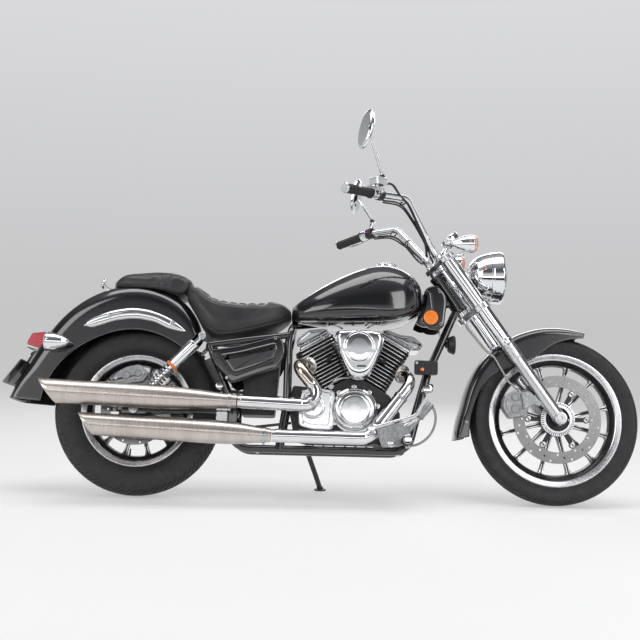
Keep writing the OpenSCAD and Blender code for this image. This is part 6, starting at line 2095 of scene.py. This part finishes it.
# triple clamps
half = [(-82, -24), (-82, 24), (-66, 40), (-28, 118), (-10, 134), (18, 134), (30, 118), (26, 80), (4, 50)]
OUT = [(-82, 24), (-66, 40), (-28, 118), (-10, 134), (18, 134), (30, 118), (26, 80), (4, 50), (4, -50), (26, -80), (30, -118), (18, -134), (-10, -134), (-28, -118), (-66, -40), (-82, -24)]
a = Acc()
P = soft_poly(OUT, 12, 4)
if poly_area(P) < 0:
    P = P[::-1]
Q = inset(P, 2)
for z0, z1 in ((478, 502), (702, 720)):
    vf = loft([[(x, y, z0) for x, y in Q], [(x, y, z0 + 2) for x, y in P], [(x, y, z1 - 2) for x, y in P], [(x, y, z1) for x, y in Q]])
    a.add(moved((vf[0], [tuple(reversed(f)) for f in vf[1]]), fork_m()), 0)
a.add(lathe(stem(478), unit(stem(732) - stem(478)), [(0, 0), (18, 0), (20, 2), (20, 222), (19, 224), (19, 238), (16, 240), (15, 252), (11, 254), (0, 254)], 56, 1.0), 0)
for s in (-1, 1):
    a.add(rod(V(1085, s * 34, 868), V(1085, s * 34, 905), 14, None, 40, 1.6), 0)
    a.add(ycyl(1085, 905, *sorted((s * 22, s * 48)), 22), 0)
    for dx in (-14, 14):
        a.add(capbolt((1085 + dx, s * 35, 925), (0, 0, 1), 4.4, 6), 1)
    for t in (486, 708):
        q = V(1530, s * 134, ZF) + V(-math.sin(RAKE), 0, math.cos(RAKE)) * (t + 4)
        a.add(capbolt(q, (0, s, 0), 4.6, 3), 1)
a.add(prism(soft_poly([(1196, 676), (1236, 690), (1300, 736), (1290, 746), (1236, 716), (1206, 706)], 5, 3), -22, 22, 1.4), 0)
a.make("triple_clamps", "fork", [CHROME_SOFT, STEEL], angle=35, replaces=["fork_clamps"], slot="chrome")
a = Acc()
for s in (-1, 1):
    a.add(rod((1134, s * 120, 894), (1176, s * 152, 899), 6, None, 24, 1), 0)
a.make("signal_stalks", "fork", [CHROME_SOFT], angle=35, replaces=["fork_clamps"], slot="chrome")

# front caliper
def caliper_f():
    P = soft_poly([(1352, 308), (1416, 322), (1424, 366), (1388, 420), (1356, 404), (1330, 382), (1326, 348)], 10, 5)
    a = Acc()
    a.add(prism(P, -94, -72, 3), 0)
    a.add(prism(P, -66, -44, 3), 0)
    if poly_area(P) < 0:
        P = P[::-1]
    a.add(prism(inset(P, 10), -97, -92, 1.4), 0)
    a.add(prism(inset(P, 14), -74, -64, 0.4), 2)
    for x, z, r in ((1374, 344, 19), (1374, 386, 17)):
        a.add(lathe((x, -93, z), (0, -1, 0), [(0, 0), (r, 0), (r, 5), (r - 2, 7), (r - 5, 7.4), (r - 6, 5.8), (0, 5.8)], 48, 0.5), 0)
    a.add(prism(soft_poly([(1400, 340), (1438, 360), (1456, 352), (1470, 364), (1420, 410), (1392, 400)], 7, 4), -108, -86, 2), 0)
    for x, z in ((1408, 356), (1412, 396), (1346, 360)):
        a.add(capbolt((x, -107 if x > 1400 else -93, z), (0, -1, 0), 6, 6), 1)
    a.make("caliper_front", "fork", [ALLOY, STEEL, PLASTIC], angle=35, replaces=["front_caliper"], slot="alloy")
caliper_f()

# headlight
a = Acc()
prof = [(0, 0), (20, 0.6), (34, 3), (50, 9), (64, 20), (76, 33), (84, 48), (90, 66), (94, 84), (97, 98), (99, 112), (100, 116), (100, 126), (97, 131), (93, 132), (89, 130), (88, 124), (88, 112)]
a.add(lathe((1210, 0, 845), (1, 0, 0), prof, 88, 1.2), 0)
a.add(lathe((1210, 0, 845), (1, 0, 0), [(93.6, 83), (96.4, 84), (97.6, 90), (97, 93), (94.6, 93)], 120, 0.4), 0)
a.make("headlight_bucket", "fork", [CHROME], angle=60, replaces=["headlight_shell"], slot="chrome")
a = Acc()
refl = [(86, 113)] + [(86 * math.sqrt(1 - k / 9), 113 - 62 * k / 9) for k in range(1, 9)] + [(6, 50), (0, 50)]
a.add(lathe((1210, 0, 845), (1, 0, 0), refl, 96, 0.5), 0)
a.add(lathe((1210, 0, 845), (1, 0, 0), [(0, 52), (11, 52), (12, 84), (9, 90), (0, 92)], 32, 0.8), 1)
a.make("headlight_reflector", "fork", [MIRROR, MILKY], angle=50)
a = Acc()
a.add(lathe((1210, 0, 845), (1, 0, 0), [(0, 113), (86, 113), (87.4, 115), (87.4, 126), (80, 132), (66, 140), (44, 147.6), (22, 151), (0, 151.8)], 96, 0.8), 0)
a.make("headlight_glass", "fork", [CLEAR], angle=60, replaces=["headlight_lens"], slot="clear_glass")

# instrument box
m = axes((1150, 0, 985), (math.sin(math.radians(-40)), 0, math.cos(math.radians(-40))), (0, 1, 0))
a = Acc()
a.add(moved(lathe((0, 0, 0), (0, 0, 1), [(0, -24), (20, -24), (30, -14), (36, -6), (38, 4), (38, 14), (36.5, 17.4), (34, 18), (33, 15.4), (0, 15.4)], 72, 0.8), m), 0)
a.add(moved(lathe((0, 0, 0), (0, 0, 1), [(0, 13), (32, 13), (32, 15.6), (0, 16)], 64, 0.3), m), 1)
a.add(moved(lathe((0, 0, 0), (0, 0, 1), [(0, 15.8), (33.2, 15.8), (33.2, 16.6), (26, 17.4), (0, 17.8)], 64, 0.3), m), 2)
a.add(rod((1104, 0, 906), (1136, 0, 962), 9, None, 28, 1), 0)
a.make("instrument_pod", "fork", [CHROME, PLASTIC, CLEAR], angle=40, replaces=["instrument"], slot="chrome")

# front signals
a = Acc()
for s in (-1, 1):
    a.add(lathe((1132, s * 160, 935), (1, 0, 0), [(0, 0), (8, 2), (14, 12), (21, 23), (26, 34), (30, 46), (32, 58), (33, 70), (33, 80), (31.6, 81), (29, 81), (0, 80)], 40, 0.8), 0)
    a.add(lathe((1132, s * 160, 935), (1, 0, 0), [(0, 80.5), (31, 80.5), (31, 86), (28, 92), (18, 95.4), (0, 96)], 40, 0.6), 1)
    for k in range(2):
        a.add(lathe((1132, s * 160, 935), (1, 0, 0), [(30, 60 + 6 * k), (33.4, 61 + 6 * k), (33.4, 63 + 6 * k), (30, 64 + 6 * k)], 40, 0.3), 0)
a.make("front_signal_lamps", "fork", [CHROME, AMBER_DIM], angle=50, replaces=["front_signals"], slot="chrome")

# ------------------------------------------------------------------ bars
BAR = [V(1085, 0, 905), V(1085, 75, 905), V(962, 212, 1084), V(857, 272, 1080), V(735, 400, 1060)]
full = [(p[0], -p[1], p[2]) for p in BAR[:0:-1]] + [tuple(p) for p in BAR]
a = Acc()
a.add(sweep(bend(full, 45, 12), 12.5, 36), 0)
a.make("bar_tube", "fork", [CHROME], angle=40, replaces=["handlebar"], slot="chrome")
G, BODY_, CH, BT, GL, RB = Acc(), Acc(), Acc(), Acc(), Acc(), Acc()
for s in (-1, 1):
    f = lambda p: V(p[0], s * p[1], p[2])
    b3, b4 = f(BAR[3]), f(BAR[4])
    gu = unit(b4 - b3)
    ring = [(13, -132), (20, -131.4), (21, -129), (20.4, -126), (17, -125)]
    for k in range(19):
        z = -122 + 6.4 * k
        ring += [(15.9, z), (17.1, z + 1.2), (17.1, z + 4.2), (15.9, z + 5.4)]
    ring += [(17.4, 1), (13, 2)]
    G.add(lathe(b4, gu, ring, 28, 0.4), 0)
    G.add(lathe(b4, gu, [(0, 0.8), (18.4, 0.8), (19, 2), (19, 6), (17, 8), (0, 8.2)], 48, 0.6), 1)
    hb = b4 - gu * 146
    fwd = unit(np.cross(gu, V(0, 0, 1))) * s
    X, Y = -gu, fwd
    Z = np.cross(X, Y) * s
    m = np.eye(4)
    m[:3, 0], m[:3, 1], m[:3, 2], m[:3, 3] = X, Y, Z, hb
    CH.add(moved(lathe((-12, 0, 0), (1, 0, 0), [(12.6, 0), (19, 0), (20, 1.4), (20, 28.6), (19, 30), (12.6, 30)], 44, 0.8), m), 0)
    CH.add(moved(rod((0, 14, 0), (-1, 48, 0), 9.4, None, 28, 2), m), 0)
    CH.add(moved(rod((-4, 44, -7), (-4, 44, 7), 7.5, None, 24, 1), m), 0)
    lev = spline([(6, 44, 0), (-10, 50, 0), (-40, 56, 0), (-80, 60, 0), (-112, 56, 0), (-128, 51, 0)], 8)
    CH.add(moved(sweep(lev, 4.2, 20), m), 0)
    CH.add(moved(lathe((-128, 51.2, 0), (1, 0, 0), [(0, -7.2), (4, -6), (6, -2), (6.4, 2), (5, 5), (0, 7)], 24, 0.4), m), 0)
    # switch block with buttons and its screws
    BODY_.add(moved(lathe((18.4, 0, 0), (1, 0, 0), [(12.6, 0), (20, 0), (22, 3), (22, 26), (20, 29), (12.6, 29)], 40, 1.0), m), 0)
    for dx, mat in ((26, 1), (38, 2)):
        BT.add(moved(rod((dx, -21, 0), (dx, -25.4, 0), 4.2, None, 20, 0.8), m), mat - 1)
    RB.add(moved(rod((32, 0, -21.6), (32, 0, -24.8), 2.6, None, 14, 0.4), m), 0)
    if s < 0:
        P = soft_poly([(-22, 2), (32, 2), (32, 42), (-22, 42)], 5, 4)
        if poly_area(P) < 0:
            P = P[::-1]
        Q = inset(P, 2)
        z0, z1 = (24, 52)
        vf = loft([[(x, y, z0) for x, y in Q], [(x, y, z0 + 2) for x, y in P], [(x, y, z1 - 8) for x, y in P], [(x * 1, y, z1 - 7) for x, y in inset(P, 1.2)], [(x, y, z1 - 6) for x, y in P], [(x, y, z1 - 1.6) for x, y in P], [(x, y, z1) for x, y in Q]])
        CH.add(moved(vf, m), 0)
        CH.add(moved(rod((4, 14, 18), (4, 18, 26), 8, None, 24, 1), m), 0)
        for x, y in ((-17, 7), (27, 7), (-17, 37), (27, 37)):
            RB.add(moved(rod((x, y, 51.8), (x, y, 53), 2.4, None, 12, 0.3), m), 0)
G.make("hand_grips", "fork", [RUBBER, CHROME], angle=35, replaces=["grips"] if "grips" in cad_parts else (), slot="rubber")
CH.make("lever_sets", "fork", [CHROME_SOFT], angle=40, replaces=["hand_controls"], slot="chrome")
BODY_.make("switch_blocks", "fork", [PLASTIC], angle=35)
BT.make("switch_buttons", "fork", [BLUE_P, RED_P], angle=35)
RB.make("bar_screws", "fork", [STEEL], angle=35)

# mirror post up from the left lever clamp; on the right, the point where the brake line leaves the reservoir
for s in (-1, 1):
    f = lambda p: V(p[0], s * p[1], p[2])
    gu = unit(f(BAR[4]) - f(BAR[3]))
    hb = f(BAR[4]) - gu * 146
    fw = unit(np.cross(gu, V(0, 0, 1))) * s
    if s > 0:
        piece("mirror_post", "fork", rod(hb + fw * 17 - gu * 6, hb + fw * 24 - gu * 22 + V(0, 0, 60), 8, 7, 28, 1.2), [CHROME_SOFT], angle=40)
    else:
        res_out = hb + fw * 20 - gu * 34 + V(0, 0, 36)

# brake lines with crimped ends, and the clutch cable
L1 = bend([(1382, -82, 420), (1352, -82, 440), (1300, -82, 530), (1262, -80, 562), (1204, -72, 636), (1190, -72, 664)], 18, 8)
L2 = spline([tuple(res_out), tuple(res_out + V(30, 14, 2)), (936, -238, 1086), (968, -222, 1058), (1008, -168, 994), (1040, -120, 940), (1052, -60, 910), (1056, -22, 924)], 8)
L3 = spline([(890, 256, 1062), (930, 240, 1064), (966, 226, 1050), (1036, 130, 940), (1052, 60, 910), (1048, 20, 922)], 8)
L4 = spline([(1056, -132, 346), (1072, -138, 330), (1078, -140, 290), (1060, -136, 240), (1020, -128, 206), (976, -112, 196)], 8)
Bk = {"fork": Acc(), "frame": Acc()}
for q, r, mt, bd in ((L1, 4.5, 0, "fork"), (L2, 4.2, 1, "fork"), (L3, 4.0, 1, "fork"), (L4, 4.2, 0, "frame")):
    q = np.asarray(q, float)
    Bk[bd].add(sweep(q, r, 18), mt)
    for e0, e1 in ((q[0], q[1]), (q[-1], q[-2])):
        d = unit(e1 - e0)
        Bk[bd].add(lathe(e0 - d * 2, d, [(0, 0), (6, 0), (6.4, 1), (6.4, 14), (5, 18), (0, 18)], 24, 0.5), 2)
Bk["fork"].make("brake_lines", "fork", [BRAID, HOSE, STEEL], angle=40, replaces=["brake_hose"], slot="rubber")
Bk["frame"].make("rear_brake_line", "frame", [BRAID, HOSE, STEEL], angle=40)

# cables tied along the bars
a = Acc()
for s in (-1, 1):
    f = lambda p: V(p[0], s * p[1], p[2])
    for o in (0, 1):
        pts = [f(V(872, 258, 1062 - 7 * o)), f(V(936, 226, 1060 - 9 * o)), f(V(984, 178, 1020 - 9 * o)), f(V(1050, 96, 930)), f(V(1076, 62, 884))]
        a.add(sweep(spline(pts, 12), 3.0, 14), 0)
    for q in (f(V(948, 218, 1066)), f(V(1002, 160, 1016))):
        a.add(lathe(q - V(0, 0, 0), unit(f(V(962, 212, 1084)) - f(V(1085, 75, 905))) , [(13.2, -3), (14.6, -2), (14.6, 2), (13.2, 3)], 28, 0.3), 0)
a.make("bar_cables", "fork", [HOSE], angle=45)

# mirrors: chrome pods, real glass, rubber boots on the stems
for s, nm in ((-1, "right"), (1, "left")):
    f = lambda p: V(p[0], s * p[1], p[2])
    gu = unit(f(BAR[4]) - f(BAR[3]))
    hb = f(BAR[4]) - gu * 146
    fwd = unit(np.cross(gu, V(0, 0, 1))) * s
    p0 = hb + fwd * 24 - gu * 22 + V(0, 0, 58)
    a = Acc()
    path = bend([p0, f(V(866, 296, 1140)), f(V(824, 376, 1236)), f(V(808, 392, 1262))], 20, 10)
    a.add(sweep(path, 5, 24), 0)
    a.add(lathe(path[0] - V(0, 0, 2), unit(path[1] - path[0]), [(0, 0), (9, 0), (9, 8), (5, 10), (0, 10)], 6, 0.3), 0)
    # pod, from the same ellipsoid as the solid: rotate([0, 10, -24]) then mirrored
    ry, rz = math.radians(10), math.radians(-24)
    Ry = np.array([[math.cos(ry), 0, math.sin(ry)], [0, 1, 0], [-math.sin(ry), 0, math.cos(ry)]])
    Rz = np.array([[math.cos(rz), -math.sin(rz), 0], [math.sin(rz), math.cos(rz), 0], [0, 0, 1]])
    R = Rz @ Ry
    S = np.diag([1, s, 1.0])
    nu, nv = 64, 20
    rings = []
    for i in range(nv + 1):
        t = -1 + 2 * i / nv
        x = 0.24 * 76 * math.sin(t * math.pi / 2)
        r = math.cos(t * math.pi / 2)
        if x < -8.5:
            continue
        rr = max(r, 0.02) * 76
        rings.append([(x, 0.62 * rr * math.cos(2 * math.pi * k / nu), rr * math.sin(2 * math.pi * k / nu)) for k in range(nu)])
    v, fc = loft(rings)
    v = np.array([S @ (R @ V(*q) + V(802, 398, 1275)) for q in np.asarray(v)])
    if s < 0:
        fc = [tuple(reversed(q)) for q in fc]
    a.add((v, fc), 0)
    a.make("mirror_pod_" + nm, "fork", [CHROME], angle=60, replaces=["mirrors"], slot="chrome")
    e = math.sqrt(max(0, 1 - (8.5 / (0.24 * 76)) ** 2)) * 76 - 2
    gl = Acc()
    rings = [[(-8.9, 0.62 * e * q * math.cos(2 * math.pi * k / nu), e * q * math.sin(2 * math.pi * k / nu)) for k in range(nu)] for q in (0.04, 1.0)] + [[(-7.6, 0.62 * e * math.cos(2 * math.pi * k / nu), e * math.sin(2 * math.pi * k / nu)) for k in range(nu)]]
    v, fc = loft(rings)
    v = np.array([S @ (R @ V(*q) + V(802, 398, 1275)) for q in np.asarray(v)])
    gl.add((v, fc), 0)
    gl.make("mirror_glass_" + nm, "fork", [MIRROR], angle=40)
    b = Acc()
    i0 = int(len(path) * 0.5)
    b.add(sweep(path[:i0], np.array([9.5 - 2.5 * (k / max(1, i0 - 1)) + (0.8 if k % 2 else 0) for k in range(i0)]), 28), 0)
    b.make("mirror_boot_" + nm, "fork", [RUBBER], angle=40)

# ------------------------------------------------------------------ CAD nodes shown as built
NODE_LOOK = {}


def look(names, mat, bev=1.0):
    for nm in names:
        o = bpy.data.objects.get(nm)
        if o is None:
            print("no node", nm)
            continue
        o.data.materials.clear()
        o.data.materials.append(mat)
        w = o.modifiers.new("weld", "WELD")
        w.merge_threshold = 0.00002
        if bev:
            b = o.modifiers.new("bevel", "BEVEL")
            b.width = bev * 0.001
            b.segments = 2
            b.limit_method = "ANGLE"
            b.angle_limit = math.radians(40)
            b.harden_normals = False
        nml = o.modifiers.new("norm", "WEIGHTED_NORMAL")
        nml.keep_sharp = True


look(["front_disc"], DISC_F, 0.5)
look(["rear_disc"], DISC_R, 0.5)
look(["drive_sprocket"], STEEL, 0.6)
look(["front_axle", "rear_axle"], STEEL, 0.8)

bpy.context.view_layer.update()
